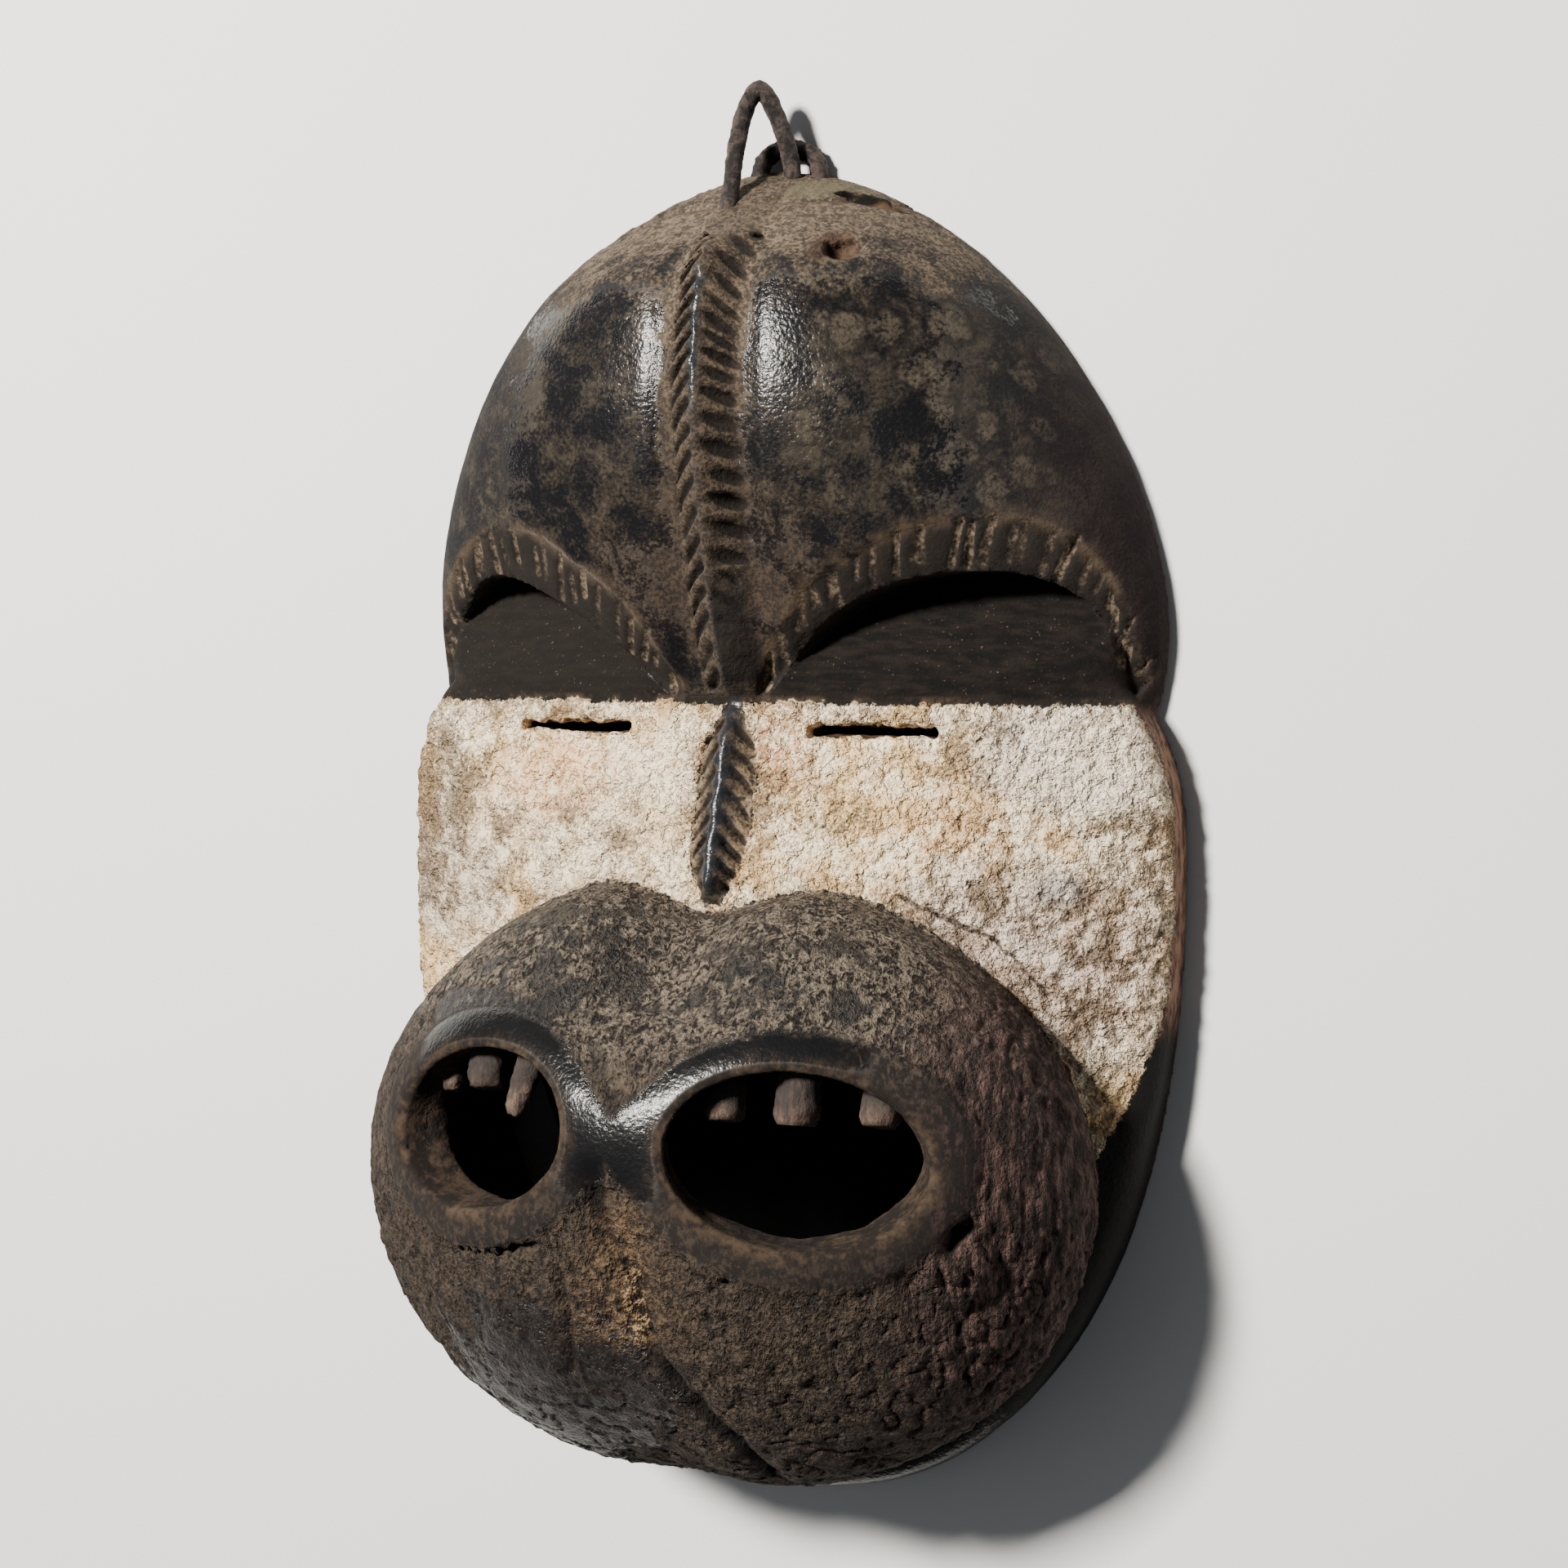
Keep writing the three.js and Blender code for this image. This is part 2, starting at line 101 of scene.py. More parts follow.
camera_data = bpy.data.cameras.new("camera")
camera_data.lens = 54.86
camera_data.sensor_width = 36
camera = bpy.context.scene.camera = linked("camera", camera_data)
eye = metres(
    CAMERA_AWAY * math.sin(CAMERA_TURN) * math.cos(CAMERA_RISE),
    CAMERA_AWAY * math.sin(CAMERA_RISE),
    CAMERA_AWAY * math.cos(CAMERA_TURN) * math.cos(CAMERA_RISE),
)
ahead = (metres(*AIM) - eye).normalized()
right = ahead.cross(Vector((0, 1, 0))).normalized()
above = right.cross(ahead)
camera.matrix_world = Matrix.Translation(eye) @ Matrix((right, above, -ahead)).transposed().to_4x4()
print("camera at", [round(v, 3) for v in eye])

# %% [markdown]
# Light. The highlights and shadows come from one strong light above the crown and to the
# left, with a faint sky all round. A small square lamp in that direction keeps the shadows'
# places and the highlights small, and a wide, weak one stands for the sky. The floor is plain
# and pale. Under the hollow lies a black sheet of painted shade, so that the muzzle's
# openings show black inside.


# %% Lamps, floor and shade sheet
def square_lamp(name, towards, away, size, watts, tint=(1, 1, 1)):
    data = bpy.data.lights.new(name, "AREA")
    data.shape = "SQUARE"
    data.size = size
    data.energy = watts
    data.color = tint
    lamp = linked(name, data)
    way = Vector(towards).normalized()
    lamp.location = way * away
    lamp.rotation_mode = "QUATERNION"
    lamp.rotation_quaternion = way.to_track_quat("Z", "Y")


square_lamp("key_lamp", (-0.33, 0.40, 0.86), 1.5, 0.22, 80, (1.0, 0.95, 0.88))
square_lamp("sky_lamp", (-0.55, 0.15, 1.0), 1.6, 1.1, 1.2, (0.86, 0.93, 1.0))
world = bpy.data.worlds.new("sky")
world.use_nodes = True
sky = world.node_tree.nodes["Background"].inputs
sky["Color"].default_value = (0.9, 0.94, 1.0, 1)
sky["Strength"].default_value = 0.13
bpy.context.scene.world = world


def flat_sheet(name, outline, height):
    mesh = bpy.data.meshes.new(name)
    mesh.from_pydata([(x, y, height) for x, y in outline], [], [list(range(len(outline)))])
    sheet = linked(name, mesh)
    sheet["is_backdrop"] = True
    return sheet


FLOOR_HEIGHT, SHADE_SHEET_HEIGHT = -0.0003, 0.0001
floor = flat_sheet("floor", [(-3, -3), (3, -3), (3, 3), (-3, 3)], FLOOR_HEIGHT)
# The black sheet under the hollow is painted shade: it keeps the inside dark through the muzzle's openings.
shade_sheet_line = [
    (0.082 * math.cos(a), (0.112 if math.sin(a) > 0 else 0.135) * math.sin(a) - 0.012)
    for a in (i / 48 * 2 * math.pi for i in range(48))
]
shade_sheet = flat_sheet("shade_sheet", shade_sheet_line, SHADE_SHEET_HEIGHT)

# %% [markdown]
# Drawing tools. The mask is first a distance: for every point in space, how far it lies
# outside the wood, negative inside. Distances join and cut softly with a few lines of sums,
# which suits hand carving, where no edge is quite sharp. Sculpting by hand would suit too,
# but it can't be kept as a script or share the solids' numbers.


# %% Soft joins and heights between stations
def soft_max(a, b, soft):
    nearness = np.maximum(soft - np.abs(a - b), 0) / soft
    return np.maximum(a, b) + nearness * nearness * soft / 4


def soft_min(a, b, soft):
    return -soft_max(-a, -b, soft)


def ease(low, high, value):
    """0 below low, 1 above high and smooth between; low may be the larger."""
    t = np.clip((value - low) / (high - low), 0, 1)
    return t * t * (3 - 2 * t)


def bell(value, width):
    return np.exp(-((value / width) ** 2))


def along(stations, y):
    """Smooth height between [y, z] stations, without overshoot."""
    ys, zs = np.array(stations, float).T
    rise = np.diff(zs) / np.diff(ys)
    slope = np.concatenate([rise[:1], np.zeros(len(ys) - 2), rise[-1:]])
    same_way = rise[:-1] * rise[1:] > 0
    both = np.where(same_way, rise[:-1] + rise[1:], 1)
    slope[1:-1] = np.where(same_way, 2 * rise[:-1] * rise[1:] / both, 0)
    at = np.clip(y, ys[0], ys[-1])
    i = np.clip(np.searchsorted(ys, at) - 1, 0, len(ys) - 2)
    step = ys[i + 1] - ys[i]
    t = (at - ys[i]) / step
    return (
        (2 * t**3 - 3 * t**2 + 1) * zs[i]
        + (t**3 - 2 * t**2 + t) * step * slope[i]
        + (3 * t**2 - 2 * t**3) * zs[i + 1]
        + (t**3 - t**2) * step * slope[i + 1]
    )


def smooth_line(points, count):
    """A smooth line through points, as count places equally far apart."""
    p = np.array(points, float)
    p = np.vstack([2 * p[0] - p[1], p, 2 * p[-1] - p[-2]])
    t = np.linspace(0, 1, 24, endpoint=False)[:, None]
    parts = []
    for a, b, c, d in zip(p, p[1:], p[2:], p[3:]):
        parts.append(
            0.5 * (2 * b + (c - a) * t + (2 * a - 5 * b + 4 * c - d) * t**2 + (3 * b - a - 3 * c + d) * t**3)
        )
    line = np.vstack(parts + [p[-2:-1]])
    far = np.concatenate([[0], np.cumsum(np.linalg.norm(np.diff(line, axis=0), axis=1))])
    places = np.linspace(0, far[-1], count)
    return np.stack([np.interp(places, far, line[:, k]) for k in range(line.shape[1])], 1)


def line_distance(points, line):
    """Distance from each point to a line of many places, in the plan or in space."""
    nearest = np.full(len(points), np.inf)
    for a, b in zip(line, line[1:]):
        way = b - a
        t = np.clip((points - a) @ way / (way @ way), 0, 1)
        nearest = np.minimum(nearest, ((points - a - t[:, None] * way) ** 2).sum(1))
    return np.sqrt(nearest)


def loop_distance(points, loop):
    """Signed distance in the plan to a closed line, negative inside."""
    inside = np.zeros(len(points), bool)
    x, y = points.T
    closed = np.vstack([loop, loop[:1]])
    for (ax, ay), (bx, by) in zip(closed, closed[1:]):
        if ay == by:
            continue
        crosses = (ay > y) != (by > y)
        inside ^= crosses & (x < (bx - ax) * (y - ay) / (by - ay) + ax)
    distance = line_distance(points, closed)
    return np.where(inside, -distance, distance)


def turns(count):
    """The angles of a full turn in equal steps."""
    return np.arange(count) / count * 2 * np.pi


class PlanMap:
    """A value worked out once on a fine grid over the plan, and read between its places."""

    def __init__(self, work, low, high, step):
        self.low, self.step = np.array(low, float), step
        xs, ys = (np.arange(a, b + step, step) for a, b in zip(low, high))
        grid = np.stack(np.meshgrid(xs, ys, indexing="ij"), -1)
        self.values = work(grid.reshape(-1, 2)).reshape(grid.shape[:2])

    def __call__(self, x, y):
        size = np.array(self.values.shape) - 1.001
        u = np.clip((x - self.low[0]) / self.step, 0, size[0])
        v = np.clip((y - self.low[1]) / self.step, 0, size[1])
        i, j = u.astype(int), v.astype(int)
        u, v = u - i, v - j
        near = self.values[i, j] * (1 - v) + self.values[i, j + 1] * v
        far = self.values[i + 1, j] * (1 - v) + self.values[i + 1, j + 1] * v
        return near * (1 - u) + far * u


# %% Seeded unevenness
LATTICE = np.random.default_rng(11).normal(size=(4096, 3))
LATTICE /= np.linalg.norm(LATTICE, axis=1)[:, None]


def uneven(points, size, seed=0):
    """Smooth random relief, about -1 to 1, with bumps of that size in millimetres."""
    q = points / np.asarray(size, float)
    base = np.floor(q).astype(np.int64)
    f = q - base
    blend = f**3 * (f * (f * 6 - 15) + 10)
    total = np.zeros(len(points))
    for corner in np.ndindex(2, 2, 2):
        at = base + corner
        key = (at[:, 0] * 73856093) ^ (at[:, 1] * 19349663) ^ (at[:, 2] * 83492791) ^ (seed * 6151)
        weight = np.prod(np.where(corner, blend, 1 - blend), axis=1)
        total += weight * ((f - corner) * LATTICE[key & 4095]).sum(1)
    return total * 1.7


def layered(points, size, seed=0, layers=3):
    """Unevenness with finer unevenness on it."""
    size = np.asarray(size, float)
    return sum(uneven(points, size / 2**i, seed + i) / 2**i for i in range(layers)) / 1.6


# %% [markdown]
# The drawing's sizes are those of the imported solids: the crown's and the cheeks' ovals, the
# heights up the midline, the muzzle's ball and its cleft, the hollow behind, the openings,
# the brows' lines and the ridges.

# %% Sizes of the mask
WALL = 11
BROW_BEAM = 88
CROWN = {"y": 52, "half_width": 97.5, "up": 113.5, "down": 113.5, "power": 1.9, "right_power": 1.72}
CHEEKS = {"y": 0, "half_width": 102.3, "up": 70, "down": 159.5, "power": 2.35, "right_power": 2.35}
BACK_CHEEKS = {"y": 0, "half_width": 91, "up": 93, "down": 141, "power": 2.35, "right_power": 2.35}
FOREHEAD = [
    [20, 24], [36, 31.5], [42, 34], [55, 39.6], [76, 45.6], [94, 49.4], [107, 50.6], [122, 49.5],
    [135, 46], [141.5, 40], [151, 26.5], [160, 14], [166, 3],
]
FACE_MIDDLE = [
    [-170, 12], [-140, 22], [-100, 40], [-40, 48], [-4, 42.5], [19, 36], [36, 31.5], [70, 19], [105, 10],
]
FACE_EDGE = [[-170, 9], [-120, 12], [-60, 14], [30, 15], [60, 5], [105, 3]]
DOME_POWER = 2.05
MUZZLE = {"centre": (0, -76, 40), "size": (91, 73, 56)}
MUZZLE_HOLLOW = {"centre": (0, -76, 40), "size": (79, 61, 43)}
CLEFT_DEPTH = [[-150, 4], [-100, 3], [-68, 1.5], [-50, 0], [-41, 1.5], [-32, 8], [-24, 11], [-12, 10.2], [5, 11.4]]
CLEFT_WIDTH = 18.4
CLEFT_BACK = 1.5
OPENINGS = [
    {"x": 39.8, "y": -60, "half_width": 27.4, "half_height": 18.2, "tilt": -0.14},
    {"x": -37.6, "y": -59, "half_width": 24.6, "half_height": 17.4, "tilt": 0.16},
]
LIP = {"width": 5.2, "height": 1.0, "set_back": 3.1}
OPENING_TURN = 0.47
LID = {"foot": 35.8, "set_back": 0.9, "bulge": 4.0, "middle": 51, "half_height": 17}
SLITS = [{"x": 34.6, "y": 29.4, "length": 32, "height": 3}, {"x": -45, "y": 29.3, "length": 34.5, "height": 3}]
KNOT = {"centre": (29, 140.6, 34.5), "size": (4.8, 3.9, 5)}
CROWN_SPLIT = [(19, 156.6, 13.6), (35.5, 152.2, 9.4)]
MUZZLE_NOTCH = [(-43, -86.9, 88.2), (-17, -82.6, 94.4)]
BROWS = [
    {
        "lower": [
            [5, 34.5], [19.3, 49.6], [32.6, 59.9], [46.1, 64.8], [58.8, 66.2], [69, 65.8], [78.8, 62.2],
            [85.1, 56.1], [88.4, 47.8], [89.6, 34.5],
        ],
        "upper": [
            [8, 44], [22.3, 62.7], [33.7, 70], [45.1, 75.4], [55.8, 77.7], [66, 78.6], [76.6, 76.3],
            [83.6, 70.9], [91, 59], [95, 42],
        ],
        "strokes": 27,
    },
    {
        "lower": [
            [-14.5, 34.5], [-28.8, 47.5], [-41.3, 56.4], [-53.2, 63], [-65, 66.6], [-75, 65], [-83, 58.7],
            [-88, 47.8], [-89.6, 34.5],
        ],
        "upper": [
            [-13.5, 40], [-25.1, 59.2], [-41.4, 71.1], [-50, 76.1], [-59.8, 77.8], [-69.6, 76.8],
            [-81.5, 70], [-90.5, 57], [-95, 42],
        ],
        "strokes": 23,
    },
]
print("crown to chin, mm:", CROWN["y"] + CROWN["up"] - CHEEKS["y"] + CHEEKS["down"])


# %% [markdown]
# Forehead: a long dome on the crown's oval. Its height across is a superellipse, so it
# meets the rim steeply as a carved shell does.


# %% Forehead and cheeks as distances
def half_width(oval, x, y, inset=0.0):
    reach = np.where(y > oval["y"], oval["up"], oval["down"]) - inset
    share = np.minimum(np.abs(y - oval["y"]) / reach, 1)
    power = np.where(x > 0, oval["right_power"], oval["power"])
    return (oval["half_width"] - inset) * (1 - share**power) ** (1 / power)


def oval_line(oval, count, inset=0.0):
    c, s = np.cos(turns(count)), np.sin(turns(count))
    power = np.where(c > 0, oval["right_power"], oval["power"])
    reach = np.where(s > 0, oval["up"], oval["down"]) - inset
    x = np.sign(c) * np.abs(c) ** (2 / power) * (oval["half_width"] - inset)
    return np.stack([x, oval["y"] + np.sign(s) * np.abs(s) ** (2 / power) * reach], 1)


def dome_share(x, y, z, inset):
    across = np.abs(x) / np.maximum(half_width(CROWN, x, y, inset), 0.5)
    up = np.maximum(z, 0) / np.maximum(along(FOREHEAD, y) - inset, 0.5)
    return (across**DOME_POWER + up**DOME_POWER) ** (1 / DOME_POWER)


def dome_distance(x, y, z, inset=0.0):
    share = dome_share(x, y, z, inset)
    step = 0.4
    steps = [dome_share(x + step, y, z, inset), dome_share(x, y + step, z, inset), dome_share(x, y, z + step, inset)]
    rate = np.sqrt(sum(((other - share) / step) ** 2 for other in steps)) + 1e-4
    return soft_max((share - 1) / rate, y - CROWN["y"] - CROWN["up"] + inset, 1.5)


def face_height(x, y):
    middle, edge = along(FACE_MIDDLE, y), along(FACE_EDGE, y)
    return middle - (middle - edge) * np.minimum(np.abs(x) / 100, 1.2) ** 1.9


def lid_height(x, y):
    share = (y - LID["middle"]) / LID["half_height"]
    return face_height(x, y) - LID["set_back"] + LID["bulge"] * np.maximum(1 - share * share, 0)


PLAN_LOW, PLAN_HIGH = (-112, -172), (112, 180)
cheek_rim = PlanMap(lambda p: loop_distance(p, oval_line(CHEEKS, 120)), PLAN_LOW, PLAN_HIGH, 1.5)
back_rim = PlanMap(lambda p: loop_distance(p, oval_line(BACK_CHEEKS, 120)), PLAN_LOW, PLAN_HIGH, 1.5)
tell("maps of the rims:", cheek_rim.values.shape)

# %% [markdown]
# Ridges: a bar of triangular section up the forehead and a shorter one down the nose. Both
# flanks are cut, the cuts pointing to the crown. A knife makes each cut, so each has its own
# depth and a slightly different place. The forehead's right flank has wide oval gouges that
# stop above the brow. Its left flank and the nose have curved cuts with one steep side,
# which overlap like scales.

# %% Ridges and their notches
FOREHEAD_RIDGE = {
    "half_width": 7.6, "height": 4.5, "spacing": 6.2, "closer": 1.9, "top": 147, "foot": 38, "blunt": 0.004,
}
NOSE_RIDGE = {"height": 5.0, "spacing": 5.3, "closer": 0.0, "top": 34, "foot": -10.5, "blunt": 0.05}


def per_row(row, seed):
    """A steady random number from 0 to 1 for each row."""
    return (np.sin(row * 12.9898 + seed * 78.233) * 43758.5453) % 1


def row_place(x, y, ridge, side, slope, bend):
    """Which cut a place belongs to, and how far up from that cut's lower edge, 0 to 1."""
    out = np.abs(x)
    down = y + slope * out + bend * out * out + 0.5 * np.sin(y * 0.21 + side)
    place = down / ridge["spacing"] + ridge["closer"] * ease(104, 150, down)
    row = np.floor(place)
    return row, place - row


def gouges(x, y, ridge, side, first):
    """Oval gouges on one flank, steeper towards the crown."""
    out = np.abs(x)
    slope = 0.3 + 0.6 * ease(92, 132, y)
    row, share = row_place(x, y, ridge, side, slope, 0.0)
    middle = 5.6 + 0.9 * (per_row(row, side + 8) - 0.5)
    half = 4.3 + 0.9 * (per_row(row, side + 4) - 0.5)
    offset = share - 0.5 + 0.14 * (per_row(row, side + 2) - 0.5)
    oval = 1 - (offset / (0.33 + 0.06 * per_row(row, side + 6))) ** 2 - ((out - middle) / half) ** 2
    inside = (np.sign(x) == side) & (y > first) & (y < ridge["top"] - 2)
    return -(1.7 + 0.8 * per_row(row, side + 5)) * np.maximum(oval, 0) ** 0.8 * inside


def scales(x, y, ridge, side, depth, reach, slope=0.9, crest=1.6):
    """Curved cuts with one steep side, which leave a flank like overlapping scales."""
    out = np.abs(x)
    row, share = row_place(x, y, ridge, side, slope, 0.035)
    own = depth * (0.7 + 0.5 * per_row(row, side + 5))
    saw = ease(0, 0.62, share) * ease(1.0, 0.86, share)
    edge = reach + 1.2 * (per_row(row, side + 8) - 0.5)
    span = ease(crest - 1.4, crest, out) * ease(edge + 0.9, edge - 0.9, out)
    inside = (np.sign(x) == side) & (y > ridge["foot"] + 1) & (y < ridge["top"] - 1)
    return -own * (1 - saw) * span * inside


def nose_width(y):
    """Half the nose ridge's width: pointed at the brows, full at its middle."""
    return 1.8 + 5.4 * ease(37, 24, y) * ease(-14, 3, y)


def all_cuts(x, y):
    cuts = gouges(x, y, FOREHEAD_RIDGE, 1, 68) + scales(x, y, FOREHEAD_RIDGE, -1, 3.0, 6.9, 0.62)
    cuts += scales(x, y, FOREHEAD_RIDGE, 1, 1.7, 6.4, 0.5) * ease(68, 65, y) * ease(52, 58, y)
    for side in (-1, 1):
        cuts += scales(x, y, NOSE_RIDGE, side, 2.4, nose_width(y), crest=2.3)
    return cuts


def ridge_relief(x, y):
    """Height added to the surface by both ridges, less what their cuts take away."""
    relief = np.zeros_like(x)
    for ridge in (FOREHEAD_RIDGE, NOSE_RIDGE):
        width = ridge["half_width"] if ridge is FOREHEAD_RIDGE else nose_width(y)
        wander = 0.35 * np.sin(y * 0.62) + 0.25 * np.sin(y * 1.37 + 2)
        ends = ease(ridge["foot"] - 1, ridge["foot"] + 5, y) * ease(ridge["top"] + 3, ridge["top"] - 7, y)
        bar = ridge["height"] * np.maximum(1.06 - np.sqrt(((x + wander) / width) ** 2 + ridge["blunt"]), 0)
        relief += bar * ends
    trough = -1.3 * bell(np.abs(x) - 10.2, 3.4) * ease(150, 138, y) * ease(36, 48, y)
    return relief + trough + all_cuts(x, y)


# %% [markdown]
# Brows: the forehead's lower edge is turned down towards the eye as a band about a finger
# wide, set a little below the dome, and hatched with short knife strokes.


# %% Brow bands and hatching
def arch_line(brow):
    line = smooth_line(brow["lower"], 60)
    return np.maximum(line, [-200, LID["foot"]])


def band_work(points):
    relief = np.zeros(len(points))
    for brow in BROWS:
        lower, upper = smooth_line(brow["lower"], 70), smooth_line(brow["upper"], 70)
        inside = loop_distance(points, np.vstack([lower, upper[::-1]]))
        near, far = line_distance(points, lower), line_distance(points, upper)
        share = near / (near + far + 1e-6)
        sunk = -(0.8 + 2.8 * (1 - share) ** 1.5)
        relief += sunk * ease(0.35, -0.55, inside)
    return relief


def hatch_work(points):
    cut = np.zeros(len(points))
    for number, brow in enumerate(BROWS):
        lower, upper = smooth_line(brow["lower"], 200), smooth_line(brow["upper"], 200)
        for stroke in range(brow["strokes"]):
            place = 0.05 + 0.91 * (stroke + 0.8 * (per_row(stroke, number) - 0.5)) / (brow["strokes"] - 1)
            a, b = lower[int(place * 199)], upper[int(place * 199)]
            start = a + (b - a) * (0.12 + 0.42 * per_row(stroke, number + 3) ** 1.5)
            lean = np.array([2.6 * (per_row(stroke, number + 12) - 0.5), 0])
            finish = a + (b - a) * (0.74 + 0.3 * per_row(stroke, number + 6)) + lean
            near = np.abs(points - (start + finish) / 2).max(1) < 12
            way = finish - start
            t = np.clip((points[near] - start) @ way / (way @ way), 0, 1)
            away = np.linalg.norm(points[near] - start - t[:, None] * way, axis=1)
            width = 0.75 + 0.75 * per_row(stroke, number + 15) - 0.3 * t
            depth = 0.35 + 0.95 * per_row(stroke, number + 9)
            cut[near] = np.maximum(cut[near], depth * np.maximum(1 - (away / width) ** 2, 0))
    return cut


BROW_LOW, BROW_HIGH = (-104, 28), (104, 86)
brow_band = PlanMap(band_work, BROW_LOW, BROW_HIGH, 0.5)
brow_hatch = PlanMap(hatch_work, BROW_LOW, BROW_HIGH, 0.35)
brow_tops = PlanMap(
    lambda p: np.minimum(*(line_distance(p, smooth_line(brow["upper"], 70)) for brow in BROWS)),
    BROW_LOW, BROW_HIGH, 0.7,
)
brow_arches = [
    PlanMap(lambda p, brow=brow: loop_distance(p, arch_line(brow)), PLAN_LOW, PLAN_HIGH, 1.0) for brow in BROWS
]
tell("brows' maps:", brow_hatch.values.shape)

# %% [markdown]
# Muzzle: a ball with a cleft pressed into its top, and two openings that look out to
# the sides. Each opening has a rolled lip, level with the muzzle's crust but polished.


# %% Muzzle, lips and openings
def ball_distance(x, y, z, ball):
    px, py, pz = ((v - c) / s for v, c, s in zip((x, y, z), ball["centre"], ball["size"]))
    sx, sy, sz = ball["size"]
    reach = np.sqrt(px**2 + py**2 + pz**2)
    rate = np.sqrt((px / sx) ** 2 + (py / sy) ** 2 + (pz / sz) ** 2) + 1e-6
    return reach * (reach - 1) / rate


def on_ball(x, y, ball=MUZZLE):
    (cx, cy, cz), (sx, sy, sz) = ball["centre"], ball["size"]
    return cz + sz * np.sqrt(np.maximum(1 - ((x - cx) / sx) ** 2 - ((y - cy) / sy) ** 2, 0))


def cleft(x, y):
    return along(CLEFT_DEPTH, y) * bell(x, CLEFT_WIDTH)


def muzzle_distance(x, y, z):
    return ball_distance(x, y, z, MUZZLE) + cleft(x, y) * ease(20, 34, z)


def opening_edge(opening, margin=0.0):
    a = np.cos(turns(72)) * (opening["half_width"] + margin)
    b = np.sin(turns(72)) * (opening["half_height"] + margin)
    c, s = math.cos(opening["tilt"]), math.sin(opening["tilt"])
    x, y = opening["x"] + a * c - b * s, opening["y"] + a * s + b * c
    return np.stack([x, y, on_ball(x, y)], 1)


def opening_frame(opening, x, y, z):
    """Across, up and inward from an opening's middle, along the way that it looks."""
    side = np.sign(opening["x"])
    px, py = x - opening["x"], y - opening["y"]
    pz = z - on_ball(np.array([opening["x"]]), np.array([opening["y"]]))[0]
    c, s = math.cos(OPENING_TURN), side * math.sin(OPENING_TURN)
    return px * c - pz * s, py, px * s + pz * c


def opening_map(opening):
    across, up, _ = opening_frame(opening, *opening_edge(opening).T)
    loop = np.stack([across, up], 1)
    return PlanMap(lambda p: loop_distance(p, loop), (-60, -50), (60, 50), 1.0)


for opening in OPENINGS:
    opening["tube"] = opening_map(opening)
    ring = opening_edge(opening, LIP["set_back"])[:, :2]
    opening["ring_map"] = PlanMap(lambda p, ring=ring: loop_distance(p, ring), (-90, -100), (90, -20), 1.0)
    print("opening at", opening["x"], "lip's middle spans", round(np.ptp(ring[:, 0]), 1), "mm")


def lip_width(x, y):
    """Half a lip's width: both lips widen until they meet between the openings."""
    return LIP["width"] + 6.5 * bell(x, 11) * bell(y + 58.5, 9.5)


def lip_distance(opening, x, y, z, surface):
    """The polished lip: a flat oval rope laid on the muzzle around its opening."""
    (cx, cy, cz), (sx, sy, sz) = MUZZLE["centre"], MUZZLE["size"]
    nx, ny, nz = (x - cx) / sx**2, (y - cy) / sy**2, np.maximum(z - cz, 1) / sz**2
    upright = nz / np.sqrt(nx**2 + ny**2 + nz**2)
    across = opening["ring_map"](x, y) / np.clip(upright, 0.45, 1)
    width = lip_width(x, y)
    a, b = across / width, surface / LIP["height"]
    reach = np.sqrt(a * a + b * b)
    rate = np.sqrt((a / width) ** 2 + (b / LIP["height"]) ** 2) + 1e-6
    return np.where(z > 50, reach * (reach - 1) / rate, 20)


# %% [markdown]
# The hollow: the back is cut out with an adze behind the cheeks, the muzzle and the
# forehead, and a beam of wood stays behind the brows. Only the flat rim touches the floor.


# %% The whole mask as one distance
def hollow_distance(x, y, z):
    cheeks = soft_max(back_rim(x, y), z - face_height(x, y) + WALL + 1, 7)
    forehead = soft_max(dome_distance(x, y, z, WALL), BROW_BEAM - y, 5)
    muzzle = ball_distance(x, y, z, MUZZLE_HOLLOW) + CLEFT_BACK * cleft(x, y) * ease(20, 34, z)
    return soft_min(soft_min(cheeks, muzzle, 5), forehead, 3)


def slit_distance(x, y):
    wobble = 0.35 * np.sin(x * 0.9) + 0.25 * np.sin(x * 2.1 + 1)
    best = np.full_like(x, 50)
    for slit in SLITS:
        along_x = np.abs(x - slit["x"]) - slit["length"] / 2 + 0.8
        up = np.abs(y - slit["y"] - wobble * 0.5) - slit["height"] / 2 + 0.5 - 0.15 * wobble
        outside = np.hypot(np.maximum(along_x, 0), np.maximum(up, 0))
        best = np.minimum(best, outside + np.minimum(np.maximum(along_x, up), 0) - 0.6)
    return best


def cut_distance(points, ends, radius):
    """A gouge between two places, fading at both ends."""
    a, b = (np.array(p, float) for p in ends)
    way = b - a
    t = np.clip((points - a) @ way / (way @ way), 0, 1)
    return np.linalg.norm(points - a - t[:, None] * way, axis=1) - radius * np.sqrt(1 - (2 * t - 1) ** 2 + 0.05)


def front_parts(x, y, z):
    """The forehead, the cheeks with their lids, and the muzzle, each as a distance."""
    relief = ridge_relief(x, y)
    dome = dome_distance(x, y, z) - (relief + brow_band(x, y) - brow_hatch(x, y)) * (y > LID["foot"])
    dome = soft_max(dome, LID["foot"] - 0.7 - y, 0.8)
    face = (z - face_height(x, y)) * 0.93 - relief * (y <= LID["foot"])
    cheeks = soft_max(cheek_rim(x, y), face, 5)
    muzzle = muzzle_distance(x, y, z)
    return dome, cheeks, muzzle


def outer_distance(x, y, z):
    dome, cheeks, muzzle = front_parts(x, y, z)
    body = soft_min(dome, cheeks, 1.0)
    for arch in brow_arches:
        socket = soft_max(arch(x, y), (lid_height(x, y) - z) * 0.93, 1.5)
        body = soft_max(body, -socket, 2.2)
    body = soft_min(body, muzzle, 1.6)
    for opening in OPENINGS:
        body = soft_min(body, lip_distance(opening, x, y, z, muzzle), 3.8)
    return body


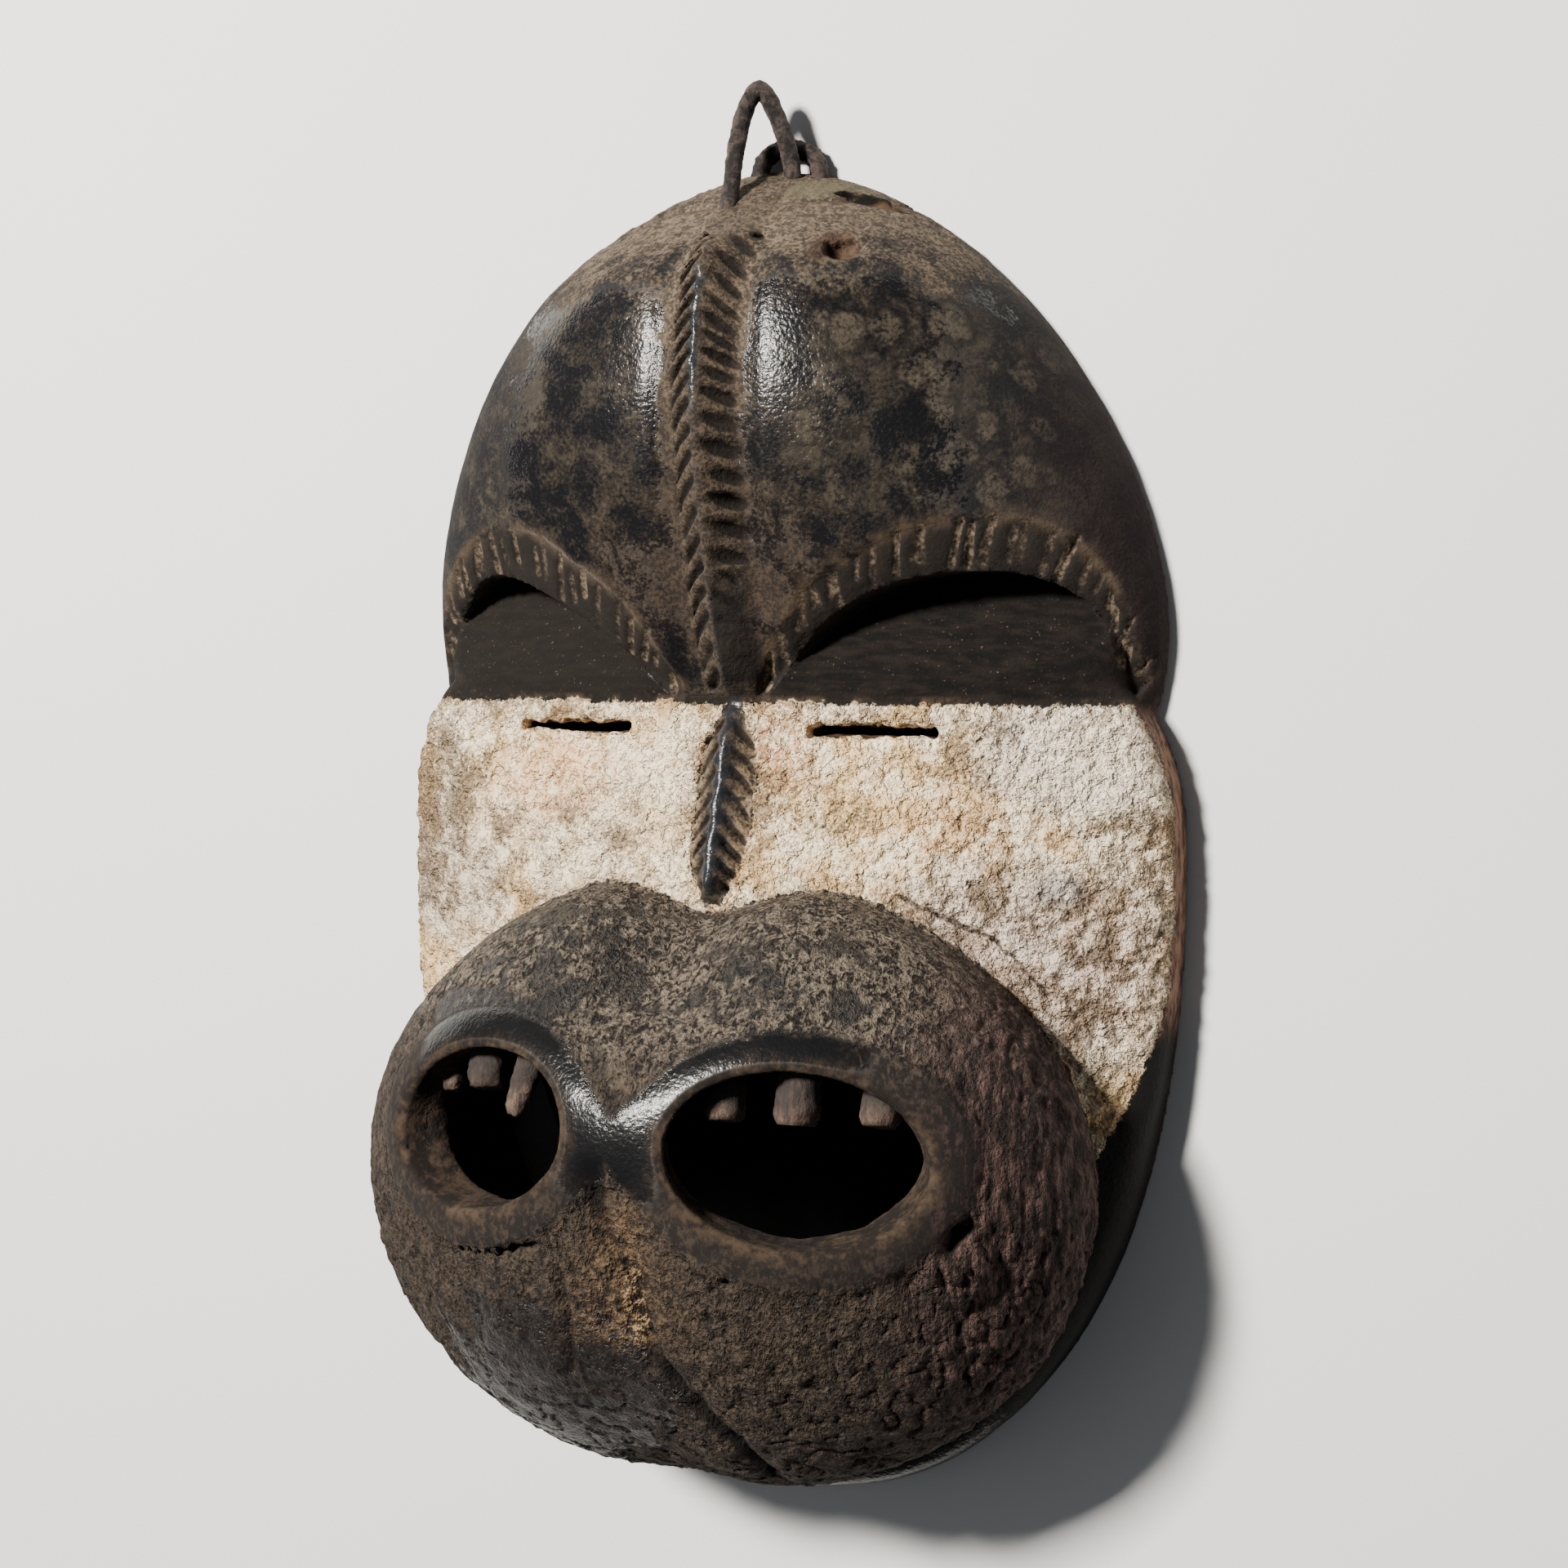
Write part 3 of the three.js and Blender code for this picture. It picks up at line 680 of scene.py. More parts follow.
def wood_distance(points):
    x, y, z = points.T
    wood = soft_max(outer_distance(x, y, z), -hollow_distance(x, y, z), 2.0)
    for opening in OPENINGS:
        across, up, inward = opening_frame(opening, x, y, z)
        tube = np.maximum(opening["tube"](across, up), -inward - 46)
        wood = soft_max(wood, -tube, 2.4)
    wood = soft_max(wood, -slit_distance(x, y), 0.7)
    wood = soft_max(wood, -ball_distance(x, y, z, KNOT), 0.9)
    wood = soft_max(wood, -cut_distance(points, CROWN_SPLIT, 2.9), 0.6)
    wood = soft_max(wood, -cut_distance(points, MUZZLE_NOTCH, 1.3), 0.6)
    return np.maximum(wood, -z)


# %% [markdown]
# From distance to mesh: space is split into small cells, and wherever the distance changes
# sign inside a cell, one vertex is put at the average of the crossings. Neighbouring cells'
# vertices join to squares. Coarse blocks far from the surface are skipped to save time.


# %% Surface net
def corner_views(grid):
    """A grid seen from a box's eight corners, each view one shorter along every axis."""
    spans = slice(None, -1), slice(1, None)
    return [grid[spans[i], spans[j], spans[k]] for i, j, k in np.ndindex(2, 2, 2)]


def finer(grid, times):
    """Every entry repeated along each axis."""
    return grid.repeat(times, 0).repeat(times, 1).repeat(times, 2)


def net_surface(distance, low, high, step, block=4):
    coarse = step * block
    counts = [int(math.ceil((b - a) / coarse)) + 1 for a, b in zip(low, high)]
    axes = [a + coarse * np.arange(n) for a, n in zip(low, counts)]
    grid = np.stack(np.meshgrid(*axes, indexing="ij"), -1)
    rough = distance(grid.reshape(-1, 3)).reshape(counts)
    near = np.abs(rough) < coarse * 1.9
    fine_cells = finer(np.any(corner_views(near), axis=0), block)
    size = [n + 1 for n in fine_cells.shape]
    wanted = np.zeros(size, bool)
    for view in corner_views(wanted):
        view |= fine_cells
    sign = np.pad(finer(rough[:-1, :-1, :-1], block), ((0, 1),) * 3, mode="edge")
    values = np.where(sign < 0, -coarse, coarse).astype(np.float32)
    places = np.argwhere(wanted)
    for chunk in np.array_split(np.arange(len(places)), max(1, len(places) // 400000)):
        spots = places[chunk]
        values[tuple(spots.T)] = distance(np.array(low) + step * spots)
    inside = values < 0
    full = sum(view.astype(np.int8) for view in corner_views(inside))
    crossed = (full > 0) & (full < 8)
    number = np.full(crossed.shape, -1, np.int64)
    boxes = np.argwhere(crossed)
    number[crossed] = np.arange(len(boxes))
    total, hits = np.zeros((len(boxes), 3)), np.zeros(len(boxes))
    for axis in range(3):
        others = [k for k in range(3) if k != axis]
        for corner in np.ndindex(2, 2):
            start = np.zeros(3, int)
            start[others] = corner
            end = start.copy()
            end[axis] = 1
            a = values[tuple((boxes + start).T)].astype(float)
            b = values[tuple((boxes + end).T)].astype(float)
            cross = (a < 0) != (b < 0)
            spot = np.zeros((len(boxes), 3)) + start
            spot[:, axis] = np.where(cross, a / np.where(cross, a - b, 1), 0)
            total += spot * cross[:, None]
            hits += cross
    vertices = np.array(low) + step * (boxes + total / hits[:, None])
    faces = []
    for axis in range(3):
        first, second = [k for k in range(3) if k != axis]
        lower = [slice(1, n - 1) for n in size]
        lower[axis] = slice(0, size[axis] - 1)
        upper = list(lower)
        upper[axis] = slice(1, size[axis])
        starts_in, ends_in = inside[tuple(lower)], inside[tuple(upper)]
        edges = np.argwhere(starts_in != ends_in)
        outward = starts_in[tuple(edges.T)]
        corners = []
        for from_first, from_second in ((0, 0), (1, 0), (1, 1), (0, 1)):
            box = edges.copy()
            box[:, first] += from_first
            box[:, second] += from_second
            corners.append(number[tuple(box.T)])
        squares = np.stack(corners, 1)
        turned = outward if axis == 1 else ~outward
        squares[turned] = squares[turned][:, ::-1]
        faces.append(squares)
    return vertices, np.vstack(faces)


STEP = 0.8
low_corner, high_corner = (-106.4, -164.8, -2.4), (106.4, 170.4, 108)
net_points, net_squares = net_surface(wood_distance, low_corner, high_corner, STEP)
tell("net:", len(net_points), "points,", len(net_squares), "squares,")


# %% [markdown]
# Zones: which finish each place has. The same distances tell them: where the cheeks'
# surface is outermost there is clay, where the muzzle's is, there is crust. Three more say
# how dusty, smooth or crusted a place is. These numbers are stored on the vertices, and the
# material reads them.


# %% Zones of finish
# Each crease: its path in the plan, its width and its depth.
CREASES = [
    ([(-4, -66), (-3, -80), (4.5, -90), (5.5, -102), (13.8, -116.6), (20.5, -126), (24.2, -138.5)], 3.2, 1.8),
    ([(9, -110), (13.8, -116.6), (20.5, -126), (24.2, -138.5)], 0.9, 1.5),
    ([(2, -80), (4.7, -86.5), (4.2, -94), (6, -102)], 0.7, 1.3),
    ([(-14, -88), (-13, -100), (-15, -112)], 0.9, 1.3),
    ([(44, -8.5), (55.3, -12.6), (62.6, -16.3), (69, -21.6), (76, -30)], 0.7, 1.2),
    ([(60, -27), (68, -40), (76, -54)], 1.2, 0.9),
    ([(74.4, -73.6), (73, -75.4), (71, -78)], 1.3, 2.4),
]


def crack_depth(points):
    """How deep the long creases and cracks are, in the plan."""
    wander = points[:, :2] + 0.8 * np.stack([uneven(points, 5, 60), uneven(points, 5, 61)], 1)
    total = np.zeros(len(points))
    for path, width, depth in CREASES:
        line = smooth_line(path, 30)
        reach = 3 * width
        near = ((wander > line.min(0) - reach) & (wander < line.max(0) + reach)).all(1) & (points[:, 2] > 25)
        total[near] += depth * bell(line_distance(wander[near], line), width)
    return total


def raw_patch(x, y):
    """Where the crust has fallen off: a streak that widens downwards from between the lips."""
    return ease(-64, -78, y) * ease(-108, -98, y) * bell(x - 1 - 0.1 * (y + 90), 4 + np.maximum(-66 - y, 0) * 0.22)


def zones(points):
    x, y, z = points.T
    out = np.abs(x)
    dome, cheeks, muzzle = front_parts(x, y, z)
    outer, hollow = outer_distance(x, y, z), hollow_distance(x, y, z)
    arch = np.minimum(*(a(x, y) for a in brow_arches))
    lip = np.minimum(*(np.abs(o["ring_map"](x, y)) for o in OPENINGS)) / lip_width(x, y)
    edge = np.minimum(*(o["ring_map"](x, y) for o in OPENINGS))
    front = ease(1.5, -1.5, np.abs(outer) - np.abs(hollow)) * ease(0, 2, z)
    on_nose = (y < LID["foot"]) & (y > NOSE_RIDGE["foot"] - 1)
    clay = np.minimum(LID["foot"] - y, muzzle - cheeks - 0.2)
    margin = np.interp(y, [-76, -54, -44, -30], [11, 4.4, 2.2, 0.2])
    clay = np.minimum(clay, np.minimum(-cheek_rim(x, y) - margin, (z - 10.5) * 0.8))
    clay = np.minimum(clay, np.where(on_nose, out - nose_width(y), 20))
    clay = np.minimum(clay, (y + 62) * 0.6 + 6)
    forehead_crest = bell(out, 1.2) * ease(140, 132, y) * (0.25 + 0.75 * ease(100, 113, y))
    nose_crest = bell(x + 0.8 * np.sin(y * 1.18), 1.3 + 0.9 * ease(30, 16, y)) * ease(-11, -6, y)
    crest = np.where(y > LID["foot"], forehead_crest, nose_crest)
    dusty = np.maximum(ease(16, 8, out) * ease(38, 50, y), ease(118, 150, y))
    dusty = np.maximum(dusty, ease(100, 62, y) * ease(40, 60, y) * ease(56, 10, out))
    crusted = ease(-2.4, -0.4, cheeks - muzzle) * front
    on_ridges = ease(8.4, 6.8, out) * front * (ease(36, 40, y) + ease(35, 32, y) * ease(-12, -8, y))
    worn_chin = ease(1, 0, ((x + 22) / 46) ** 2 + ((y + 117) / 34) ** 2)
    zone = {
        "dusty": dusty,
        "clay": np.where(front > 0.5, clay, -20),
        "raw": raw_patch(x, y) * front,
        "crack": np.maximum(crack_depth(points) * front, 2 * ease(1.2, -0.4, cut_distance(points, CROWN_SPLIT, 2.9))),
        "worn": bell(brow_tops(x, y), 1.3) * (y > LID["foot"]) * (out < 100),
        "muzzle": cheeks - muzzle,
        "front": front,
        "lid": ease(0.5, -1.0, arch) * ease(1.5, -1.5, np.abs(z - lid_height(x, y)) - 2) * ease(34, 36, y),
        "crest": crest * ease(2.5, -2.5, muzzle * -1 + 1),
        "lip": ease(1.3, 0.85, lip) * ease(40, 55, z) * front,
        "throat": ease(1.5, -2.5, edge) * ease(30, 45, z),
        "notch": np.clip(-all_cuts(x, y), 0, 2),
        "hatch": np.clip(brow_hatch(x, y), 0, 2) * (y > LID["foot"]),
        "band": np.clip(-brow_band(x, y), 0, 4) * (y > LID["foot"]) * ease(-0.5, 0.5, arch),
    }
    smooth = ease(74, 40, out) * ease(142, 124, y) * (1 - 0.7 * dusty)
    smooth *= (1 - crusted) * (1 - zone["lid"]) * (1 - on_ridges)
    smooth = np.maximum(np.maximum(smooth, zone["lip"]), zone["crest"])
    zone["smooth"] = smooth * ease(0.35, -0.25, zone["clay"])
    zone["crust"] = crusted * (1 - zone["lip"]) * (1 - 0.6 * worn_chin)
    return zone


# %% [markdown]
# Relief: what the knife, the crust and wear do to the surface, moved along its normals.
# The forehead is only slightly uneven, the clay is scabby, the muzzle is rough all over,
# with long grain on its right side and a broken patch below the lips.


# %% Carve the unevenness
CLEAN_CLAY, WORN_CHIN, MUZZLE_KNOB, BROW_KNOB, KNOT_RIM = (84, 24), (-24, -114), (72, -84), (-81, 60.5), (28, 141)


def normals_of(points, squares):
    a, b, c, d = (points[squares[:, k]] for k in range(4))
    faces = np.cross(c - a, d - b)
    total = np.zeros_like(points)
    for k in range(4):
        for axis in range(3):
            total[:, axis] += np.bincount(squares[:, k], faces[:, axis], len(points))
    return total / (np.linalg.norm(total, axis=1)[:, None] + 1e-12)


def relief(points, zone):
    x, y, z = points.T

    def away_from(centre, size=(1, 1)):
        return np.hypot((x - centre[0]) / size[0], (y - centre[1]) / size[1])

    front, lip = zone["front"], zone["lip"]
    on_muzzle = ease(-0.5, 1.5, zone["muzzle"]) * front * (1 - lip) * (1 - zone["throat"])
    on_clay = ease(-1.0, 1.0, zone["clay"])
    smooth = (1 - on_muzzle) * (1 - on_clay) * front
    total = 0.45 * uneven(points, 34, 1) + 0.16 * uneven(points, 13, 2)
    total += smooth * (0.07 * uneven(points, 6, 3) + 0.05 * uneven(points, 3.2, 4))
    clean = bell(away_from(CLEAN_CLAY, (26, 13)), 1)
    scabs = 0.55 * np.tanh(3 * layered(points, 4.2, 20)) + 0.35 * np.tanh(3 * layered(points, 2.4, 24))
    total += on_clay * (1 - 0.6 * clean) * scabs
    right_side = ease(48, 74, x)
    worn = bell(away_from(WORN_CHIN, (26, 17)), 1)
    below = ease(-66, -84, y) * (1 - 0.8 * worn)
    total += on_muzzle * (0.3 + 0.6 * below) * layered(points, 5, 30)
    total += on_muzzle * 0.3 * (1 - worn) * layered(points, (2.2, 5, 4), 40)
    wrinkles = 0.5 - np.abs(uneven(points, (2.9, 10, 6), 46)) - 0.5 * np.abs(uneven(points, (1.6, 6, 3), 47))
    total += on_muzzle * right_side * 1.1 * wrinkles
    cracks = np.maximum(1 - np.abs(uneven(points, (6, 8, 7), 45) + 0.3 * uneven(points, 2.5, 48)) / 0.13, 0)
    total -= on_muzzle * (0.15 + 0.85 * below) * 0.8 * cracks
    raw = raw_patch(x, y) * on_muzzle
    total += raw * (1.3 * layered(points, 4, 50) - 1.0)
    knob = away_from(MUZZLE_KNOB)
    knob = (1.5 * bell(knob, 6.5) - 1.2 * bell(knob - 9, 2)) * (1 + 0.5 * uneven(points, 4, 55))
    total += right_side * on_muzzle * knob
    total += 2.0 * bell(away_from(BROW_KNOB, (1.3, 1)), 4.2) * front
    total -= crack_depth(points) * front
    total += 0.9 * layered(points, 2.4, 90) * bell(away_from(KNOT_RIM), 6.5) * front
    total += ease(134, 150, y) * front * (0.7 * layered(points, (8, 3, 3), 95) + 0.25 * uneven(points, 1.8, 98))
    scoops = np.abs(uneven(points, (17, 13, 17), 70)) ** 0.7
    total += (1 - front) * ease(0.5, 4, z) * (1.1 * scoops + 0.2 * uneven(points, 3, 71))
    return total * ease(0.2, 2.5, z)


zone = zones(net_points)
net_points += relief(net_points, zone)[:, None] * normals_of(net_points, net_squares)
tell("relief carved,")

# %% [markdown]
# The net is even and heavy. Blender's Decimate keeps triangles where the carving needs
# them and spends few on the smooth back. Then the zones are worked out again on what is left.

# %% Thin the net and store the zones
MOST_TRIANGLES = 192000


def mesh_from(name, points, faces):
    """A mesh object from points in drawing millimetres."""
    mesh = bpy.data.meshes.new(name)
    placed = (np.asarray(points) - [0, MIDDLE_Y, 0]) / 1000
    faces = np.asarray(faces)
    mesh.vertices.add(len(placed))
    mesh.vertices.foreach_set("co", placed.ravel())
    mesh.loops.add(faces.size)
    mesh.loops.foreach_set("vertex_index", faces.ravel())
    mesh.polygons.add(len(faces))
    mesh.polygons.foreach_set("loop_start", np.arange(len(faces)) * faces.shape[1])
    mesh.update()
    mesh.validate()
    mesh.shade_smooth()
    return linked(name, mesh)


def places_of(mesh):
    flat = np.empty(len(mesh.vertices) * 3)
    mesh.vertices.foreach_get("co", flat)
    return flat.reshape(-1, 3) * 1000 + [0, MIDDLE_Y, 0]


def store(mesh, name, values):
    mesh.attributes.new(name, "FLOAT", "POINT").data.foreach_set("value", np.asarray(values, np.float32))


carved_mask = mesh_from("carved_mask", net_points, net_squares)
thin = carved_mask.modifiers.new("thin", "DECIMATE")
thin.ratio = min(1.0, MOST_TRIANGLES / (2 * len(net_squares)))
thinned = bpy.data.meshes.new_from_object(carved_mask.evaluated_get(bpy.context.evaluated_depsgraph_get()))
carved_mask.modifiers.clear()
carved_mask.data = thinned
thinned.name = "carved_mask"
thinned.shade_smooth()
zone = zones(places_of(thinned))
for name, values in zone.items():
    store(thinned, name, values)
tell("mask:", len(thinned.polygons), "faces,")

# %% [markdown]
# Irons: each hoop is a forged rod, bent and driven in. A rod is a ring of points swept
# along a smooth line. Hammering and rust make it uneven, so its points are pushed about.

# %% Forged hoops
HOOP = {
    "radius": 2.15,
    "points": [
        (-6.7, 147.5, 23.4), (-6.7, 157, 19.4), (-6.5, 168, 16.8), (-5.2, 178.5, 14), (-2.2, 183.6, 12.2),
        (0.8, 179, 10.6), (3.4, 171, 8.9), (4.5, 163.8, 7.6), (4.5, 155, 7.2),
    ],
}
LOW_HOOP = {
    "radius": 2.3,
    "points": [
        (-6, 155, 3.6), (-6, 165, 3.2), (-4.4, 169, 3), (0.4, 170.8, 2.9), (6, 169.6, 3), (9.6, 165.6, 3.1),
        (10.2, 155, 3.6),
    ],
}


def swept(line, radii, sides):
    """Points and squares of a closed tube along a line."""
    ways = np.gradient(line, axis=0)
    ways /= np.linalg.norm(ways, axis=1)[:, None]
    side = np.cross(ways[0], [0.3, 0.1, 1.0])
    rings, angles = [], turns(sides)
    for place, way, radius in zip(line, ways, radii):
        side = side - way * (side @ way)
        side /= np.linalg.norm(side)
        other = np.cross(way, side)
        rings.append(place + radius * (np.cos(angles)[:, None] * side + np.sin(angles)[:, None] * other))
    points = np.vstack(rings)
    first, around = np.arange(len(line) - 1)[:, None] * sides, np.arange(sides)
    after = (around + 1) % sides
    second = first + sides
    squares = np.stack([first + around, first + after, second + after, second + around], -1)
    return points, squares.reshape(-1, 4)


def forged(name, hoop, rough):
    line = smooth_line(hoop["points"], 110)
    radii = hoop["radius"] * (1 + 0.05 * uneven(line, 9, 80))
    radii[[0, -1]] *= 0.2
    points, squares = swept(line, radii, 20)
    centre = np.repeat(line, 20, axis=0)
    out = points - centre
    out /= np.linalg.norm(out, axis=1)[:, None]
    push = rough * (0.5 * layered(points, 3.4, 81) + 0.35 * uneven(points, 1.3, 85))
    return mesh_from(name, points + out * push[:, None], squares)


tall_hoop = forged("forged_hoop", HOOP, 0.55)
bent_hoop = forged("hammered_hoop", LOW_HOOP, 1.0)
print("hoops:", len(tall_hoop.data.polygons), "faces each")

# %% [markdown]
# Teeth: short pegs whittled from a twig. Each starts as a swept tube whose end is flattened
# by a few chisel cuts: every point beyond a cut's plane is pressed back onto it.

# %% Whittled pegs
# Each peg: its root, its end, and its radius at both.
TEETH = {
    "right_inner": ((19.6, -38, 76.4), (20.7, -53.8, 81), (4.0, 4.9)),
    "right_middle": ((36, -32.5, 72.6), (36.4, -54.2, 77.6), (4.0, 5.4)),
    "right_outer": ((53, -35.5, 64.5), (53.4, -54.2, 71.5), (3.8, 4.8)),
    "left_inner": ((-27.4, -36.5, 75), (-33, -57.5, 79.6), (4.2, 2.5)),
    "left_middle": ((-44.2, -33, 67.6), (-42.4, -52.4, 75.4), (4.2, 5.2)),
    "left_outer": ((-57, -38, 62), (-53.7, -54.2, 72.6), (2.9, 2.7)),
}


def whittled(name, seed):
    root, end, (root_radius, end_radius) = map(np.array, TEETH[name])
    way = end - root
    length = np.linalg.norm(way)
    way /= length
    share = np.concatenate([[0], np.linspace(0.002, 0.998, 22), [1]])
    line = root + way * (share * length)[:, None]
    radii = root_radius + (end_radius - root_radius) * share
    radii *= 1 - 0.25 * ease(0.88, 1.0, share)
    radii[[0, -1]] = 0.05
    points, squares = swept(line, radii, 24)
    middle = root + way * length * 0.9
    random = np.random.default_rng(seed)
    for _ in range(8):
        cut = random.normal(size=3)
        cut += way * (random.uniform(0.0, 1.2) - cut @ way)
        cut /= np.linalg.norm(cut)
        beyond = (points - middle) @ cut - end_radius * random.uniform(0.78, 0.98)
        near_end = (points - root) @ way > length * 0.5
        points -= np.where((beyond > 0) & near_end, beyond, 0)[:, None] * cut
    out = points - (root + ((points - root) @ way)[:, None] * way)
    out /= np.linalg.norm(out, axis=1)[:, None] + 1e-3
    push = 0.6 * layered(points, (2.6, 3.4, 2.6), seed) + 0.3 * uneven(points, 1.1, seed + 9)
    return mesh_from("peg_" + name, points + out * push[:, None], squares)


pegs = {name: whittled(name, seed) for seed, name in enumerate(TEETH, 300)}
print("pegs:", *pegs)

# %% [markdown]
# Shader sums. A material is a tree of nodes, but its maths reads best as plain sums. This
# small class wraps a socket: adding, multiplying or comparing values adds the Math nodes.


# %% A socket that can be summed
def fill(node, values):
    """Give a node's inputs their constant numbers or their links."""
    for key, value in values.items():
        if isinstance(value, Look):
            node.id_data.links.new(value.socket, node.inputs[key])
        else:
            node.inputs[key].default_value = value


def two_sided(operation, swapped=False):
    """A method that joins two values by one Math node."""
    return lambda self, other: self.sum(operation, *((other, self) if swapped else (self, other)))


class Look:
    """A socket of a material's nodes."""

    def __init__(self, tree, socket=None):
        self.tree, self.socket = tree, socket

    def node(self, kind, settings=None, inputs=None, out=0):
        """Any node: its type, its settings, its inputs' values or links, and which output."""
        made = self.tree.nodes.new(kind)
        for name, value in (settings or {}).items():
            setattr(made, name, value)
        fill(made, inputs or {})
        return Look(self.tree, made.outputs[out])

    def sum(self, operation, *values):
        return self.node("ShaderNodeMath", {"operation": operation}, dict(enumerate(values)))

    __add__ = __radd__ = two_sided("ADD")
    __mul__ = __rmul__ = two_sided("MULTIPLY")
    __sub__, __rsub__ = two_sided("SUBTRACT"), two_sided("SUBTRACT", swapped=True)
    most = two_sided("MAXIMUM")

    def size(self):
        return self.sum("ABSOLUTE", self)

    def step(self, low, high, before=0.0, after=1.0):
        """0 below low, 1 above high, smooth between."""
        inputs = {"Value": self, "From Min": low, "From Max": high, "To Min": before, "To Max": after}
        return self.node("ShaderNodeMapRange", {"interpolation_type": "SMOOTHSTEP"}, inputs)

    def fall(self, low, high):
        """1 below low, 0 above high."""
        return self.step(low, high, 1.0, 0.0)

    def vector(self, operation, *others, out=0):
        return self.node("ShaderNodeVectorMath", {"operation": operation}, dict(enumerate((self, *others))), out)

    def stored(self, name):
        """A zone's number from the vertices."""
        return self.node("ShaderNodeAttribute", {"attribute_name": name}, out="Fac")

    def mix(self, low, high):
        """A colour between two, by this factor. Plain colours are screen colours, 0 to 255."""
        low, high = (c if isinstance(c, Look) else rgb(*c) for c in (low, high))
        return self.node("ShaderNodeMix", {"data_type": "RGBA"}, {0: self, 6: low, 7: high}, out=2)

    def under(self, *coats):
        """This colour with coats laid over it in turn, each a share and a colour."""
        colour = self
        for share, coat in coats:
            colour = share.mix(colour, coat)
        return colour


def rgb(*screen):
    """A colour picked on a screen, 0 to 255, as the amounts of light that nodes use."""
    shares = [v / 255 for v in screen]
    return *(v / 12.92 if v < 0.04045 else ((v + 0.055) / 1.055) ** 2.4 for v in shares), 1


def new_material(name):
    """A material, its main node, and each point's place in millimetres."""
    material = bpy.data.materials.new(name)
    material.use_nodes = True
    place = Look(material.node_tree).node("ShaderNodeTexCoord", out="Object")
    return material, material.node_tree.nodes["Principled BSDF"], place.vector("MULTIPLY", (1000, 1000, 1000))


def blotches(place, size, detail=4.0, rough=0.55, warp=0.0, stretch=None):
    """Soft random patches of a size in millimetres, 0 to 1."""
    if stretch:
        place = place.vector("MULTIPLY", stretch)
    inputs = {"Vector": place, "Scale": 1.0 / size, "Detail": detail, "Roughness": rough, "Distortion": warp}
    return place.node("ShaderNodeTexNoise", {}, inputs, out="Fac")


def cells(place, size):
    """Distance from the middle of the nearest of many random cells, in cells."""
    return place.node("ShaderNodeTexVoronoi", {"feature": "F1"}, {"Vector": place, "Scale": 1.0 / size}, out="Distance")


def warped(place, size, reach):
    """The same places, each pushed about by up to a reach in millimetres."""
    noise = place.node("ShaderNodeTexNoise", {}, {"Vector": place, "Scale": 1.0 / size, "Detail": 2.0}, out="Color")
    return place.vector("ADD", noise.vector("MULTIPLY_ADD", (2.0 * reach,) * 3, (-reach,) * 3))


def bumped(height):
    """Normal of a relief whose height is in millimetres."""
    return height.node("ShaderNodeBump", {}, {"Height": height, "Strength": 1.0, "Distance": 0.001}, out="Normal")


# %% [markdown]
# The mask's finish is one material, because the real layers lie over one piece of wood. The
# stored zones say where each layer lies, and noise of a few sizes frays their borders.

# %% Mask material
mask_look, wood, place = new_material("carved_wood")
ZONES = "clay muzzle front lid crest lip throat raw notch hatch band crack worn dusty smooth crust"
(
    clay_edge, muzzle_edge, front, lid, crest, lip, throat, raw, notch, hatch, band, crack, worn, dusty, smooth,
    crusted,
) = (place.stored(name) for name in ZONES.split())
on_muzzle = muzzle_edge.step(-2.4, -0.4) * front
across = place.node("ShaderNodeSeparateXYZ", {}, {0: place})
up = place.node("ShaderNodeSeparateXYZ", {}, {0: place}, out=1) + MIDDLE_Y
out_from_ridge = across.size()


def spot(x, y, size_x, size_y):
    """1 at a place on the face, falling to 0 over a size."""
    scale, shift = (1 / size_x, 1 / size_y, 0), (-x / size_x, (MIDDLE_Y - y) / size_y, 0)
    away = place.vector("MULTIPLY_ADD", scale, shift)
    return away.vector("DOT_PRODUCT", away, out="Value").fall(0.0, 1.0)


speckle = blotches(place, 0.9, 2, 0.65)
grit = blotches(place, 2.2, 3, 0.6)
patches = blotches(place, 9, 3, 0.6)
broad = blotches(place, 30, 3, 0.5)
mottle = blotches(place, 11, 4, 0.68, 0.5)
grain = (speckle * 0.55 + grit * 0.45).step(0.42, 0.6)
print("masks ready:", len(wood.id_data.nodes), "nodes")

# %% [markdown]
# Forehead: smoke and oil have made the wood blue-black, mottled with olive brown. Small
# round blotches, each with a darker outline, show where the oil has lifted. Rounded random
# cells give both: the middle of a cell is the blotch, a band near its border the outline.

# %% Polished wood with ringed blotches
upper_right = spot(44, 112, 70, 46)
oiled = (mottle + upper_right * 0.04 + (speckle - 0.5) * 0.5).step(0.40, 0.68)
ringed = (broad * 0.7 + mottle * 0.4 + upper_right * 0.14).step(0.54, 0.70)
cell = cells(warped(place, 6, 3.4), 10.0)
blotch = cell.fall(0.30, 0.54) * ringed * (grit * 0.5 + speckle * 0.5).step(0.38, 0.62)
outline = cell.step(0.38, 0.50) * cell.fall(0.54, 0.68) * ringed
coat = oiled.mix((16, 16, 18), (43, 39, 34)).under(
    ((grit * 0.45 + mottle * 0.35 + speckle * 0.2).step(0.50, 0.64) * 0.5, (60, 54, 43)),
    (blotch * 0.75, (66, 60, 50)),
    (outline * 0.55, (12, 12, 13)),
    (across.step(62, 90) * 0.65, (30, 19, 21)),
)

# %% [markdown]
# Brown dust lies on the crown, in the troughs beside the ridge and above the brows.

